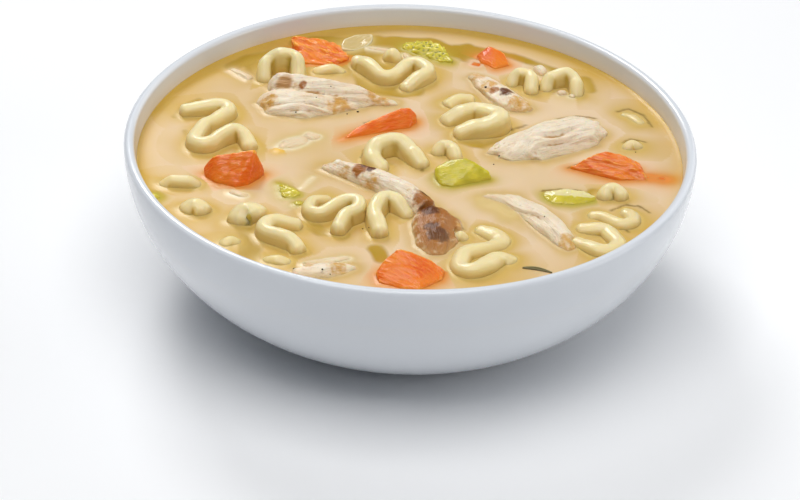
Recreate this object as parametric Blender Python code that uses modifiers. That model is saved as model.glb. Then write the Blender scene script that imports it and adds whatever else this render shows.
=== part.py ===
# Chicken noodle soup in a white coupe bowl. Metres, +Z up.
# The origin is the middle of the foot, on the surface that the bowl stands on, and -Y is the front.
# Lengths and places in the tables are in millimetres and angles in degrees: MM turns them into metres.
# "rise" is always a height above the surface of the broth.
import math

import bmesh
import bpy
from mathutils import Vector

MM = 0.001

# the bowl
RIM_RADIUS = 80.0
BOWL_HEIGHT = 49.6
FOOT_RADIUS = 38.4
WALL_CURVE = 2.05           # exponents of the wall's outline, between a cone and a quarter of an ellipse
WALL_BELLY = 1.45
WALL_THICKNESS = 3.6
LIP_THICKNESS = 2.8
FLOOR_THICKNESS = 4.5
FOOT_RING_WIDTH = 5.0
FOOT_RECESS = 1.5
TURN_STEPS = 36
WALL_STEPS = 6

# the broth
LEVEL = 43.3
GAP = 0.3                   # left between pieces that touch

# the noodles: ribbons that stand on edge and fold back on themselves
RIBBON_WIDTH = 3.1
RIBBON_DEPTH = 7.5
RIBBON_ROUNDING = 1.1
POINT_SPACING = 3.8
MOST_TURN = 55.0            # between two points, in degrees

# Each noodle starts at "start", heads "head" degrees from +X, and goes on in straight legs with a bend
# after each but the last. "rises" are spread evenly along it.
NOODLES = {
    "noodle_01": dict(start=(-65.6, 18.8), head=16, legs=(11.0, 8.2, 7.2, 7.2, 5.4), bends=(-147, 24, 153, -117),
                      loop=2.8, rises=(0.6, 3.4, 3.5, 3.5, 3.8, 5.0, 1.0)),
    "noodle_02": dict(start=(-43.2, 39.0), head=92, legs=(4.2, 3.6, 4.0), bends=(-88, -92),
                      loop=3.2, rises=(0.6, 5.2, 7.8, 7.2, 2.0)),
    "noodle_03": dict(start=(-29.8, 46.6), head=8, legs=(7.0, 1.9), bends=(-37,),
                      loop=3.1, rises=(1.0, 2.2, 0.6)),
    "noodle_04": dict(start=(-17.6, 51.0), head=12, legs=(1.0, 7.8, 6.3, 2.4, 9.6), bends=(-69, 119, -111, -86),
                      loop=2.8, rises=(1.0, 3.5, 4.0, 4.0, 3.5, 2.5, 1.0)),
    "noodle_05": dict(start=(-9.0, 56.8), head=-8, legs=(1.8, 3.0), bends=(-22,),
                      loop=3.0, rises=(1.2, 2.8, 1.4)),
    "noodle_06": dict(start=(28.7, 41.6), head=72, legs=(2.2, 1.0, 5.0), bends=(-90, -78),
                      loop=2.5, rises=(1.0, 4.6, 4.5, 2.0)),
    "noodle_07": dict(start=(39.4, 39.2), head=106, legs=(1.2, 3.0, 5.7), bends=(-90, -102),
                      loop=2.9, rises=(1.0, 4.5, 5.5, 4.0, 0.6)),
    "noodle_08": dict(start=(9.2, 28.9), head=40, legs=(5.2, 3.7), bends=(-30,),
                      loop=3.0, rises=(0.6, 1.8, 0.8)),
    "noodle_09": dict(start=(9.5, 19.3), head=24, legs=(9.0, 4.6, 11.3), bends=(-50, -138),
                      loop=3.1, rises=(1.0, 4.5, 5.0, 5.8, 4.0, 1.5)),
    "noodle_10": dict(start=(7.3, 0.9), head=77, legs=(1.3, 4.0), bends=(-154,),
                      loop=2.4, rises=(0.6, 3.0, 2.4, 1.0)),
    "noodle_11": dict(start=(-9.0, -6.4), head=158, legs=(1.2, 5.2, 12.0), bends=(-124, -88),
                      loop=2.6, rises=(1.5, 3.2, 5.6, 5.6, 3.0, 0.6)),
    "noodle_12": dict(start=(-21.2, -23.8), head=-155, legs=(4.0, 3.4, 5.2, 1.4, 6.0), bends=(53, 146, -196, 44),
                      loop=3.1, rises=(1.0, 2.5, 3.4, 4.6, 5.4, 4.2, 0.6)),
    "noodle_13": dict(start=(-7.4, -43.6), head=106, legs=(8.6, 5.2, 6.4), bends=(-34, -120),
                      loop=2.6, rises=(0.6, 3.6, 5.4, 4.6, 1.0)),
    "noodle_14": dict(start=(-28.6, -38.8), head=-179, legs=(7.1, 6.8, 3.0), bends=(150, -30),
                      loop=3.5, rises=(1.2, 3.4, 3.6, 3.4, 0.6)),
    "noodle_15": dict(start=(-46.4, -38.8), head=77, legs=(2.3, 1.2), bends=(-140,),
                      loop=2.5, rises=(0.6, 2.8, 2.4)),
    "noodle_16": dict(start=(-50.0, -50.4), head=68, legs=(1.2, 1.2), bends=(-100,),
                      loop=2.8, rises=(0.6, 1.5, 0.5)),
    "noodle_17": dict(start=(-61.3, -33.4), head=43, legs=(1.2, 1.8), bends=(-98,),
                      loop=3.3, rises=(0.6, 2.2, 0.6)),
    "noodle_18": dict(start=(-68.6, -20.8), head=46, legs=(1.2, 1.2, 7.0), bends=(-56, 14),
                      loop=2.5, rises=(0.6, 2.8, 2.8, 0.8)),
    "noodle_19": dict(start=(-38.6, -57.0), head=14, legs=(2.0, 5.2), bends=(-27,),
                      loop=3.0, rises=(0.6, 1.6, 0.6)),
    "noodle_20": dict(start=(17.6, -39.9), head=-36, legs=(6.8, 8.6, 4.2, 7.0, 1.8), bends=(-114, 52, 150, -86),
                      loop=3.0, rises=(1.0, 2.4, 2.4, 3.5, 3.2, 4.6, 3.6, 0.6)),
    "noodle_21": dict(start=(49.6, -28.1), head=-14, legs=(3.5, 5.0, 1.7, 1.2), bends=(-26, 130, 85),
                      loop=2.5, rises=(1.0, 2.5, 3.1, 2.8, 1.2)),
    "noodle_22": dict(start=(46.2, -35.6), head=-5, legs=(6.2, 4.0, 7.6), bends=(-63, -153),
                      loop=3.9, rises=(1.5, 3.2, 3.4, 3.2, 1.0)),
    "noodle_23": dict(start=(53.3, -20.3), head=90, legs=(1.2, 2.4), bends=(-150,),
                      loop=2.4, rises=(1.0, 3.4, 1.5)),
    "noodle_24": dict(start=(60.1, 28.2), head=-25, legs=(3.3, 4.8), bends=(-31,),
                      loop=3.2, rises=(0.4, 0.8, 0.4)),
    "noodle_25": dict(start=(60.3, 7.2), head=82, legs=(1.1, 2.0), bends=(-110,),
                      loop=2.4, rises=(0.5, 2.0, 0.5)),
    "noodle_26": dict(start=(12.0, -42.8), head=24, legs=(1.2, 1.2), bends=(-66,),
                      loop=2.4, rises=(1.0, 2.2, 0.6)),
}

# Cut vegetables: the corners of each piece as (x, y, rise).
CHUNKS = {
    "carrot_1": dict(colour="carrot", corners=[(-36.8, 60.6, 4.4), (-33.0, 60.8, 4.6), (-23.3, 60.4, 2.8), (-18.2, 54.0, 1.6),
                     (-33.0, 51.2, 1.0), (-24.0, 50.0, 0.4), (-35.5, 59.0, -6.0), (-20.5, 57.0, -6.0),
                     (-31.0, 52.0, -7.0), (-21.5, 52.0, -7.0)]),
    "carrot_2": dict(colour="carrot", corners=[(18.4, 59.4, 0.4), (22.4, 61.3, 3.4), (27.1, 58.2, 2.4), (29.2, 54.0, 0.5),
                     (24.2, 51.3, 0.4), (19.8, 54.6, 0.4), (20.5, 59.5, -6.0), (27.0, 57.0, -6.0),
                     (23.5, 52.5, -7.0)]),
    "carrot_3": dict(colour="carrot", corners=[(-15.6, 12.4, 1.8), (-8.9, 15.6, 3.4), (-3.3, 19.4, 5.0), (-0.6, 20.2, 4.8),
                     (1.6, 20.4, 2.6), (2.0, 18.6, -0.5), (-0.2, 15.2, 0.3), (-6.0, 13.4, 0.3), (-20.5, 6.6, 0.4),
                     (-20.0, 9.0, -3.0), (0.5, 20.5, -6.5), (-1.0, 15.5, -7.0), (-14.0, 9.5, -6.0)]),
    "carrot_4": dict(colour="carrot", corners=[(-57.4, -13.2, 1.8), (-54.6, -13.0, 4.8), (-42.6, -13.2, 6.8), (-39.6, -12.2, 1.0),
                     (-40.9, -15.0, 0.4), (-44.3, -19.1, 0.4), (-47.8, -20.9, 0.4), (-53.5, -18.6, 0.4),
                     (-56.5, -15.4, 0.4), (-54.5, -13.0, -7.0), (-43.0, -13.0, -7.0), (-47.5, -18.5, -8.0)]),
    "carrot_5": dict(colour="carrot", corners=[(43.9, -4.0, 0.8), (50.2, -3.0, 3.8), (54.6, -1.6, 5.4), (60.0, -3.2, 4.6),
                     (64.6, -3.2, 2.4), (66.5, -9.5, 0.4), (58.5, -9.9, 0.4), (53.0, -7.9, 0.4), (47.5, -5.7, 0.4),
                     (49.0, -3.5, -7.0), (62.0, -3.5, -7.0), (57.0, -8.5, -8.0)]),
    "carrot_6": dict(colour="carrot", corners=[(-2.5, -57.3, 5.8), (-5.8, -59.3, 3.9), (-8.3, -63.0, 1.4), (-7.4, -66.4, 0.4),
                     (2.1, -58.6, 5.0), (6.1, -58.8, 3.6), (10.6, -59.8, 0.8), (9.4, -64.0, 0.4), (3.5, -69.2, 0.4),
                     (-1.5, -68.6, 0.4), (-4.0, -59.0, -8.0), (7.5, -60.0, -8.0), (1.0, -66.0, -9.0)]),
    "celery_1": dict(colour="celery", corners=[(-4.3, 62.4, 0.4), (-2.6, 65.4, 0.9), (1.9, 66.0, 1.6), (6.4, 64.4, 2.2),
                     (9.6, 60.9, 2.2), (11.4, 56.6, 1.4), (12.2, 53.6, 0.5), (8.6, 54.0, 0.5), (4.4, 57.7, 0.5),
                     (0.5, 60.4, 0.4), (2.0, 63.0, -4.0), (9.0, 57.0, -4.0)]),
    "celery_2": dict(colour="celery", corners=[(7.0, -9.4, 1.8), (10.6, -7.5, 3.0), (15.3, -7.8, 3.9), (18.9, -9.2, 3.4),
                     (22.4, -10.4, 2.0), (23.3, -11.6, 0.5), (15.4, -14.0, 0.5), (11.9, -16.6, 0.5), (8.5, -16.0, 0.5),
                     (6.9, -12.5, 0.5), (9.0, -10.0, -6.0), (20.0, -10.5, -6.0), (11.0, -15.0, -6.0)]),
    "celery_3": dict(colour="celery", corners=[(36.6, -17.8, 0.8), (42.9, -16.9, 2.0), (48.4, -17.6, 1.8), (52.8, -19.6, 0.8),
                     (51.0, -22.0, 0.4), (45.0, -24.0, 0.4), (39.5, -23.6, 0.4), (36.9, -21.4, 0.4),
                     (40.0, -19.0, -4.5), (50.0, -20.0, -4.5), (43.0, -22.5, -4.5)]),
    "celery_4": dict(colour="celery", corners=[(-36.9, -16.4, 0.4), (-32.7, -20.0, 1.2), (-30.2, -21.6, 0.9), (-29.3, -23.9, 0.4),
                     (-31.9, -25.7, 0.4), (-34.9, -25.0, 0.4), (-36.0, -21.7, 0.4), (-33.0, -21.5, -3.5)]),
}

# Strips of chicken: stations along each one as (x, y, rise of its crest, half width).
CHICKEN = {
    "chicken_1": dict(depth=9.0, stations=[(-41.6, 35.4, 2.0, 2.8), (-39.2, 35.8, 5.2, 4.4), (-33.0, 34.0, 6.2, 5.0),
                      (-24.0, 31.6, 5.8, 4.8), (-14.0, 30.4, 4.2, 3.8), (-3.6, 29.2, 1.0, 1.6)],
                      lobe=[(-43.8, 28.8, 1.2, 4.6), (-39.4, 27.2, 3.8, 8.2), (-31.0, 25.6, 4.4, 8.2),
                            (-22.0, 26.6, 3.0, 5.6), (-13.0, 28.4, 1.0, 2.6)]),
    "chicken_2": dict(depth=4.0, stations=[(-53.4, 46.4, 0.5, 1.2), (-50.4, 43.8, 0.9, 2.0), (-47.0, 40.4, 0.8, 2.2)]),
    "chicken_3": dict(depth=7.0, stations=[(17.4, 47.0, 1.4, 2.0), (21.4, 41.6, 2.6, 4.2), (26.0, 34.6, 3.2, 5.2),
                      (30.6, 29.6, 2.8, 4.2), (34.8, 27.6, 1.0, 1.6)]),
    "chicken_4": dict(depth=8.0, stations=[(22.0, 3.4, 1.0, 2.4), (26.8, 3.8, 3.0, 5.6), (34.0, 6.6, 4.6, 8.0),
                      (41.8, 11.8, 5.0, 9.0), (48.8, 15.8, 4.6, 8.4), (53.4, 19.0, 2.2, 5.0)]),
    "chicken_5": dict(depth=8.0, stations=[(-24.6, -8.4, 1.4, 1.6), (-20.0, -9.6, 3.0, 3.0), (-14.0, -12.8, 4.2, 3.6),
                      (-7.0, -17.8, 5.0, 3.6), (-0.6, -23.0, 5.0, 4.0), (5.0, -29.6, 4.6, 4.4)]),
    "chicken_6": dict(depth=8.0, stations=[(6.6, -34.0, 4.0, 4.0), (8.2, -37.6, 3.8, 6.4), (8.4, -42.6, 3.2, 6.6),
                      (7.8, -48.0, 2.2, 5.0), (8.0, -51.8, 0.8, 2.4)]),
    "chicken_7": dict(depth=6.0, stations=[(20.4, -20.4, 0.5, 2.4), (28.0, -22.0, 1.2, 4.2), (34.0, -28.4, 2.4, 4.8),
                      (38.6, -35.6, 3.0, 4.6), (42.2, -42.2, 2.2, 3.6), (44.0, -47.0, 0.8, 2.0)]),
    "chicken_8": dict(depth=6.0, stations=[(-29.8, -63.0, 1.2, 1.4), (-26.0, -62.6, 2.4, 2.6), (-21.4, -61.6, 2.8, 3.6),
                      (-16.6, -60.0, 1.4, 3.2), (-13.6, -59.0, 0.6, 1.6)]),
}
CHICKEN_SIDES = 8

ONION = dict(at=(-16.4, 65.0), rise=1.0, half_length=5.6, half_width=3.6, half_thickness=0.7, turn=12, lean=52)

# A piece that lies against others is cut back from them by GAP.
NEIGHBOURS = {
    "chicken_1": ("noodle_02", "noodle_03", "noodle_04", "carrot_3"),
    "chicken_3": ("noodle_06", "noodle_08"),
    "chicken_4": ("noodle_09",),
    "chicken_5": ("noodle_11", "noodle_12", "noodle_13"),
    "chicken_6": ("chicken_5", "noodle_13", "noodle_20", "noodle_26", "carrot_6"),
    "chicken_7": ("noodle_22",),
    "chicken_8": ("noodle_19",),
    "carrot_1": ("noodle_02", "noodle_03", "noodle_04"),
    "carrot_4": ("noodle_01", "noodle_18"),
    "carrot_5": ("noodle_23",),
    "celery_1": ("noodle_05", "noodle_04"),
    "celery_3": ("noodle_21", "noodle_23"),
    "onion": ("carrot_1", "noodle_05"),
}

COLOURS = {  # base colour, roughness
    "glaze": ((0.86, 0.87, 0.88), 0.25),
    "broth": ((0.72, 0.52, 0.25), 0.12),
    "noodle": ((0.85, 0.74, 0.42), 0.35),
    "carrot": ((0.84, 0.22, 0.05), 0.35),
    "celery": ((0.52, 0.50, 0.08), 0.30),
    "chicken": ((0.80, 0.66, 0.50), 0.45),
    "onion": ((0.75, 0.68, 0.45), 0.25),
}


def clear_scene():
    for obj in list(bpy.data.objects):
        bpy.data.objects.remove(obj)


def collection_of(name):
    collection = bpy.data.collections.new(name)
    bpy.context.scene.collection.children.link(collection)
    return collection


def material_of(name, finish):
    (red, green, blue), roughness = COLOURS[finish]
    material = bpy.data.materials.new(name)
    material.use_nodes = True
    shader = material.node_tree.nodes["Principled BSDF"]
    shader.inputs["Base Color"].default_value = (red, green, blue, 1.0)
    shader.inputs["Roughness"].default_value = roughness
    shader.inputs["Metallic"].default_value = 0.0
    return material


def add_object(name, bm, collection, finish=None):
    """Makes an object of the bmesh, with its own material, and frees the bmesh."""
    mesh = bpy.data.meshes.new(name)
    bm.to_mesh(mesh)
    bm.free()
    mesh.shade_smooth()
    mesh.set_sharp_from_angle(angle=math.radians(40))
    obj = bpy.data.objects.new(name, mesh)
    collection.objects.link(obj)
    if finish:
        mesh.materials.append(material_of(name, finish))
    return obj


def hide_helper(obj):
    obj.hide_render = True
    obj.display_type = "WIRE"


def combine(obj, other, operation, solver="EXACT"):
    modifier = obj.modifiers.new(other.name, "BOOLEAN")
    modifier.operation = operation
    modifier.solver = solver
    modifier.object = other


def bevel(obj, width, group=None):
    """Rounds the sharp edges, or only those whose ends are in the vertex group."""
    modifier = obj.modifiers.new("Rounding", "BEVEL")
    modifier.width = width * MM
    modifier.segments = 1
    if group:
        modifier.limit_method = "VGROUP"
        modifier.vertex_group = group
    else:
        modifier.limit_method = "ANGLE"
        modifier.angle_limit = math.radians(35)


# ------------------------------------------------------------------ bowl and broth

def outer_radius(z):
    """The bowl's outer radius at the height z: a superellipse from the foot to the rim."""
    reach = 1.0 - (1.0 - z / BOWL_HEIGHT) ** WALL_CURVE
    return FOOT_RADIUS + (RIM_RADIUS - FOOT_RADIUS) * reach ** (1.0 / WALL_BELLY)


def inner_radius(z):
    """The inner wall: it thins from the belly to the lip."""
    share = z / BOWL_HEIGHT
    return outer_radius(z) - WALL_THICKNESS + (WALL_THICKNESS - LIP_THICKNESS) * share ** 6


def turned(name, profile, collection, finish):
    """A closed profile of (radius, height) points, top to bottom down its outer side, turned about Z."""
    bm = bmesh.new()
    points = [bm.verts.new((radius * MM, 0.0, height * MM)) for radius, height in profile]
    for first, second in zip(points, points[1:]):
        bm.edges.new((first, second))
    obj = add_object(name, bm, collection, finish)
    screw = obj.modifiers.new("Turn", "SCREW")
    screw.steps = TURN_STEPS
    screw.render_steps = TURN_STEPS
    screw.use_merge_vertices = True
    screw.merge_threshold = 0.00001
    return obj


def wall_heights(low, high, steps):
    """Heights that crowd towards the low end, where the wall turns most."""
    return [low + (high - low) * (step / steps) ** 1.6 for step in range(steps + 1)]


def make_bowl(collection):
    lip = LIP_THICKNESS / 2
    lip_base = BOWL_HEIGHT - lip
    lip_middle = (outer_radius(lip_base) + inner_radius(lip_base)) / 2
    lip_half = (outer_radius(lip_base) - inner_radius(lip_base)) / 2
    inside = wall_heights(FLOOR_THICKNESS + 1.0, lip_base, WALL_STEPS)
    outside = wall_heights(0.0, lip_base, WALL_STEPS)
    ring = FOOT_RADIUS - FOOT_RING_WIDTH
    profile = [(0.0, FLOOR_THICKNESS)]
    profile += [(inner_radius(inside[0]) * share, FLOOR_THICKNESS + share ** 3) for share in (0.55, 0.85)]
    profile += [(inner_radius(z), z) for z in inside]
    for angle in (135, 90, 45):
        turn = math.radians(angle)
        profile.append((lip_middle + lip_half * math.cos(turn), lip_base + lip * math.sin(turn)))
    profile += [(outer_radius(z), z) for z in reversed(outside)]
    profile += [(ring, 0.0), (ring - FOOT_RECESS, FOOT_RECESS), (0.0, FOOT_RECESS)]
    return turned("bowl", profile, collection, "glaze")


def make_broth(collection):
    heights = wall_heights(FLOOR_THICKNESS + 1.0 + GAP, LEVEL, WALL_STEPS - 2)
    low = heights[0]
    side = [(inner_radius(z) - 2 * GAP, z) for z in reversed(heights)]
    floor = [(inner_radius(low) * share, FLOOR_THICKNESS + share ** 3 + GAP) for share in (0.85, 0.55)]
    profile = [(0.0, LEVEL)] + side + floor + [(0.0, FLOOR_THICKNESS + GAP)]
    return turned("broth", profile, collection, "broth")


# ------------------------------------------------------------------ noodles

def along(values, share):
    """The value at this share of the way along a list of evenly spaced ones, with smooth steps."""
    place = share * (len(values) - 1)
    first = min(int(place), len(values) - 2)
    part = place - first
    part = part * part * (3.0 - 2.0 * part)
    return values[first] + (values[first + 1] - values[first]) * part


def folded_route(start, head, legs, bends, loop):
    """Points along straight legs joined by arcs of the radius "loop"."""
    heading = math.radians(head)
    place = Vector(start)
    points = [place.copy()]

    def forward(length):
        nonlocal place
        place = place + Vector((math.cos(heading), math.sin(heading))) * length
        points.append(place.copy())

    for index, leg in enumerate(legs):
        steps = max(1, round(leg / POINT_SPACING))
        for _ in range(steps):
            forward(leg / steps)
        if index < len(bends):
            angle = math.radians(bends[index])
            steps = max(1, math.ceil(abs(bends[index]) / MOST_TURN))
            for _ in range(steps):
                heading += angle / steps / 2
                forward(2 * loop * math.sin(abs(angle) / steps / 2))
                heading += angle / steps / 2
    return points


def make_noodle(name, collection, start, head, legs, bends, loop, rises):
    route = folded_route(start, head, legs, bends, loop)
    bm = bmesh.new()
    edges = []
    for index, point in enumerate(route):
        top = LEVEL + along(rises, index / (len(route) - 1))
        ends = [bm.verts.new((point.x * MM, point.y * MM, z * MM)) for z in (top, top - RIBBON_DEPTH)]
        edges.append(ends)
    for (top_a, low_a), (top_b, low_b) in zip(edges, edges[1:]):
        bm.faces.new((top_a, low_a, low_b, top_b))
    obj = add_object(name, bm, collection, "noodle")
    crest = obj.vertex_groups.new(name="crest")
    crest.add(range(0, 2 * len(route), 2), 1.0, "REPLACE")
    solid = obj.modifiers.new("Width", "SOLIDIFY")
    solid.thickness = RIBBON_WIDTH * MM
    solid.offset = 0.0
    solid.use_even_offset = True
    bevel(obj, RIBBON_ROUNDING, "crest")
    return obj


# ------------------------------------------------------------------ vegetables, chicken and onion

def make_chunk(name, collection, corners, colour):
    """A cut piece: the convex body around its corners, with worn edges."""
    bm = bmesh.new()
    for x, y, rise in corners:
        bm.verts.new((x * MM, y * MM, (LEVEL + rise) * MM))
    bmesh.ops.convex_hull(bm, input=bm.verts)
    bmesh.ops.recalc_face_normals(bm, faces=bm.faces)
    obj = add_object(name, bm, collection, colour)
    bevel(obj, 0.5)
    return obj


def strip_body(stations, depth):
    """An oval section that changes width and height from station to station."""
    bm = bmesh.new()
    rings = []
    for index, (x, y, rise, half_width) in enumerate(stations):
        before = Vector(stations[max(index - 1, 0)][:2])
        after = Vector(stations[min(index + 1, len(stations) - 1)][:2])
        across = (after - before).normalized().orthogonal()
        share = half_width / max(station[3] for station in stations)
        half_height = (rise + depth * (0.35 + 0.65 * share)) / 2
        ring = []
        for side in range(CHICKEN_SIDES):
            angle = 2 * math.pi * side / CHICKEN_SIDES
            offset = across * half_width * math.cos(angle)
            height = LEVEL + rise - half_height + half_height * math.sin(angle)
            ring.append(bm.verts.new(((x + offset.x) * MM, (y + offset.y) * MM, height * MM)))
        rings.append(ring)
    for first, second in zip(rings, rings[1:]):
        for side in range(CHICKEN_SIDES):
            after = (side + 1) % CHICKEN_SIDES
            bm.faces.new((first[side], first[after], second[after], second[side]))
    bm.faces.new(rings[0])
    bm.faces.new(rings[-1])
    bmesh.ops.recalc_face_normals(bm, faces=bm.faces)
    return bm


def make_strip(name, collection, helpers, stations, depth, lobe=None):
    """A strip of chicken, with a second lobe grown together with it where it has one."""
    obj = add_object(name, strip_body(stations, depth), collection, "chicken")
    if lobe:
        other = add_object(name + "_lobe", strip_body(lobe, depth), helpers)
        hide_helper(other)
        combine(obj, other, "UNION")
    return obj


def make_onion(collection, at, rise, half_length, half_width, half_thickness, turn, lean):
    """A thin leaf that leans on the back of the bowl."""
    bm = bmesh.new()
    bmesh.ops.create_uvsphere(bm, u_segments=10, v_segments=5, radius=1.0)
    for vert in bm.verts:
        vert.co.x *= half_length * MM
        vert.co.y *= half_width * MM
        vert.co.z = (vert.co.z * half_thickness + 0.6 * (1.0 - (vert.co.y / half_width / MM) ** 2)) * MM
    obj = add_object("onion", bm, collection, "onion")
    obj.rotation_euler = (math.radians(lean), 0.0, math.radians(turn))
    obj.location = (at[0] * MM, at[1] * MM, (LEVEL + rise) * MM)
    return obj


# ------------------------------------------------------------------ fitting together

def grown_copy(obj, collection):
    """A cutter: the shape of the object, without its small roundings, moved outwards by GAP."""
    roundings = [modifier for modifier in obj.modifiers if modifier.type == "BEVEL"]
    for modifier in roundings:
        modifier.show_viewport = False
    bpy.context.view_layer.update()
    graph = bpy.context.evaluated_depsgraph_get()
    mesh = bpy.data.meshes.new_from_object(obj.evaluated_get(graph))
    for modifier in roundings:
        modifier.show_viewport = True
    mesh.transform(obj.matrix_world)
    bm = bmesh.new()
    bm.from_mesh(mesh)
    bmesh.ops.remove_doubles(bm, verts=bm.verts, dist=0.01 * MM)
    bmesh.ops.recalc_face_normals(bm, faces=bm.faces)
    bm.normal_update()
    moves = [vert.normal * (GAP * MM * min(vert.calc_shell_factor(), 1.6)) for vert in bm.verts]
    for vert, move in zip(bm.verts, moves):
        vert.co += move
    cutter = add_object("cut_" + obj.name, bm, collection)
    hide_helper(cutter)
    return cutter


def main():
    clear_scene()
    parts = collection_of("chicken_noodle_soup")
    cutters = collection_of("cutters")
    make_bowl(parts)
    broth = make_broth(parts)
    pieces = {name: make_noodle(name, parts, **noodle) for name, noodle in NOODLES.items()}
    for name, chunk in CHUNKS.items():
        pieces[name] = make_chunk(name, parts, **chunk)
    for name, strip in CHICKEN.items():
        pieces[name] = make_strip(name, parts, cutters, **strip)
    pieces["onion"] = make_onion(parts, **ONION)
    grown = {name: grown_copy(piece, cutters) for name, piece in pieces.items()}
    for name, others in NEIGHBOURS.items():
        for other in others:
            combine(pieces[name], grown[other], "DIFFERENCE")
    # So many pockets meet in the broth that EXACT leaves open edges.
    for cutter in grown.values():
        combine(broth, cutter, "DIFFERENCE", "MANIFOLD")


main()
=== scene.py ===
# Chicken noodle soup in a white bowl: the looks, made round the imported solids.
# Lengths are in millimetres and angles in degrees, unless a note says otherwise. -Y is the front.
import math
from itertools import product

import bpy
import numpy as np
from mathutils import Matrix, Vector
from mathutils.bvhtree import BVHTree


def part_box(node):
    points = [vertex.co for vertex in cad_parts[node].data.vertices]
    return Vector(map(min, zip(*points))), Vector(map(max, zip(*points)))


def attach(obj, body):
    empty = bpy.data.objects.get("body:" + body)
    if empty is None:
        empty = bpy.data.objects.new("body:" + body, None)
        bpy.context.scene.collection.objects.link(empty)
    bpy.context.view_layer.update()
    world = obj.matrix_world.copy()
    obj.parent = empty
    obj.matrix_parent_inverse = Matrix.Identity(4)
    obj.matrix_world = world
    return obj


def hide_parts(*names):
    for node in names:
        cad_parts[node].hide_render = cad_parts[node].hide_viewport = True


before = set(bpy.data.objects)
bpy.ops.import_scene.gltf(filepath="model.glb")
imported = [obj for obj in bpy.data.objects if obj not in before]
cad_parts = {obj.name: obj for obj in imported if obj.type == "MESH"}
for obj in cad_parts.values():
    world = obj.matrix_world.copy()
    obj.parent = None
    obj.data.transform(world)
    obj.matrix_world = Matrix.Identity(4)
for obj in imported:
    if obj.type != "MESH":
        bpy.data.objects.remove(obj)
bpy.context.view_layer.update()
mm = 0.001
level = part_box("broth")[1].z / mm


# noise and small maths

def latticeNoise(points, seed=0):
    # smooth noise from -1 to 1, one blob to a unit
    cell = np.floor(points).astype(np.int64)
    part = points - cell
    part = part * part * (3 - 2 * part)
    total = np.zeros(len(points))
    for corner in product((0, 1), repeat=3):
        spot = cell + corner
        mixed = spot[:, 0] * 73856093 ^ spot[:, 1] * 19349663 ^ spot[:, 2] * 83492791 ^ (seed + 1) * 26543577
        mixed = (mixed ^ (mixed >> 13)) * 1274126177 & 0x7FFFFFFF
        value = ((mixed ^ (mixed >> 15)) & 0xFFFF) / 65535
        total += value * np.prod(np.where(corner, part, 1 - part), axis=1)
    return total * 2 - 1


def layeredNoise(points, layers=3, seed=0):
    total = np.zeros(len(points))
    for layer in range(layers):
        total += latticeNoise(points * 2 ** layer, seed + layer) / 2 ** layer
    return total / (2 - 2 ** (1 - layers))


def fade(value, low, high):
    part = np.clip((value - low) / (high - low), 0, 1)
    return part * part * (3 - 2 * part)


# meshes

def makePiece(name, points, faces, material, replaced=None):
    mesh = bpy.data.meshes.new(name)
    mesh.from_pydata((np.asarray(points) * mm).tolist(), [], faces)
    mesh.update()
    mesh.shade_smooth()
    mesh.materials.append(material)
    piece = bpy.data.objects.new(name, mesh)
    bpy.context.scene.collection.objects.link(piece)
    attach(piece, "root")
    if replaced:
        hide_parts(*replaced)
    return piece


def paint(piece, name, values):
    # a value or a colour for each point of the mesh
    values = np.asarray(values, np.float32)
    if values.ndim == 1:
        piece.data.attributes.new(name, "FLOAT", "POINT").data.foreach_set("value", values)
        return
    if name == "grain":
        piece.data.attributes.new(name, "FLOAT_VECTOR", "POINT").data.foreach_set("vector", values.ravel())
        return
    colours = np.column_stack((values, np.ones(len(values), np.float32)))
    piece.data.attributes.new(name, "FLOAT_COLOR", "POINT").data.foreach_set("color", colours.ravel())


def tubeFaces(rings, sides):
    # quads between rings of points, with a flat cap at each end
    faces = []
    for ring in range(rings - 1):
        low = ring * sides
        for side in range(sides):
            after = (side + 1) % sides
            faces.append((low + side, low + after, low + sides + after, low + sides + side))
    faces.append(tuple(reversed(range(sides))))
    faces.append(tuple((rings - 1) * sides + side for side in range(sides)))
    return faces


def pointsOf(mesh):
    flat = np.empty(len(mesh.vertices) * 3)
    mesh.vertices.foreach_get("co", flat)
    return flat.reshape(-1, 3) / mm


def normalsOf(mesh):
    flat = np.empty(len(mesh.vertices) * 3)
    mesh.vertex_normals.foreach_get("vector", flat)
    return flat.reshape(-1, 3)


def edgesOf(mesh):
    flat = np.empty(len(mesh.edges) * 2, np.int32)
    mesh.edges.foreach_get("vertices", flat)
    return flat.reshape(-1, 2)


def neighbourMean(values, edges):
    total = np.zeros_like(values)
    np.add.at(total, edges[:, 0], values[edges[:, 1]])
    np.add.at(total, edges[:, 1], values[edges[:, 0]])
    count = np.bincount(edges.ravel(), minlength=len(values)).reshape([-1] + [1] * (values.ndim - 1))
    return total / np.maximum(count, 1)


# materials

def newGroup(name, inputs, output, outputKind):
    # inputs: a number for a value, "colour" for a colour, None for a vector
    group = bpy.data.node_groups.new(name, "ShaderNodeTree")
    for title, value in inputs.items():
        kind = {str: "NodeSocketColor", float: "NodeSocketFloat"}.get(type(value), "NodeSocketVector")
        socket = group.interface.new_socket(title, in_out="INPUT", socket_type=kind)
        if kind == "NodeSocketFloat":
            socket.default_value = value
    group.interface.new_socket(output, in_out="OUTPUT", socket_type=outputKind)
    return group, group.nodes.new("NodeGroupInput"), group.nodes.new("NodeGroupOutput")


def feed(tree, socket, value):
    # links a socket, or sets its value; a colour is given as three numbers
    if isinstance(value, bpy.types.NodeSocket):
        tree.links.new(value, socket)
    else:
        socket.default_value = (*value, 1.0) if socket.type == "RGBA" else value


def addNode(tree, kind, settings=None, **inputs):
    # inputs are named by the socket's name, or by i and its number
    node = tree.nodes.new(kind)
    for name, value in (settings or {}).items():
        setattr(node, name, value)
    for name, value in inputs.items():
        feed(tree, node.inputs[int(name[1:]) if name[1:].isdigit() else name], value)
    return node


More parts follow.
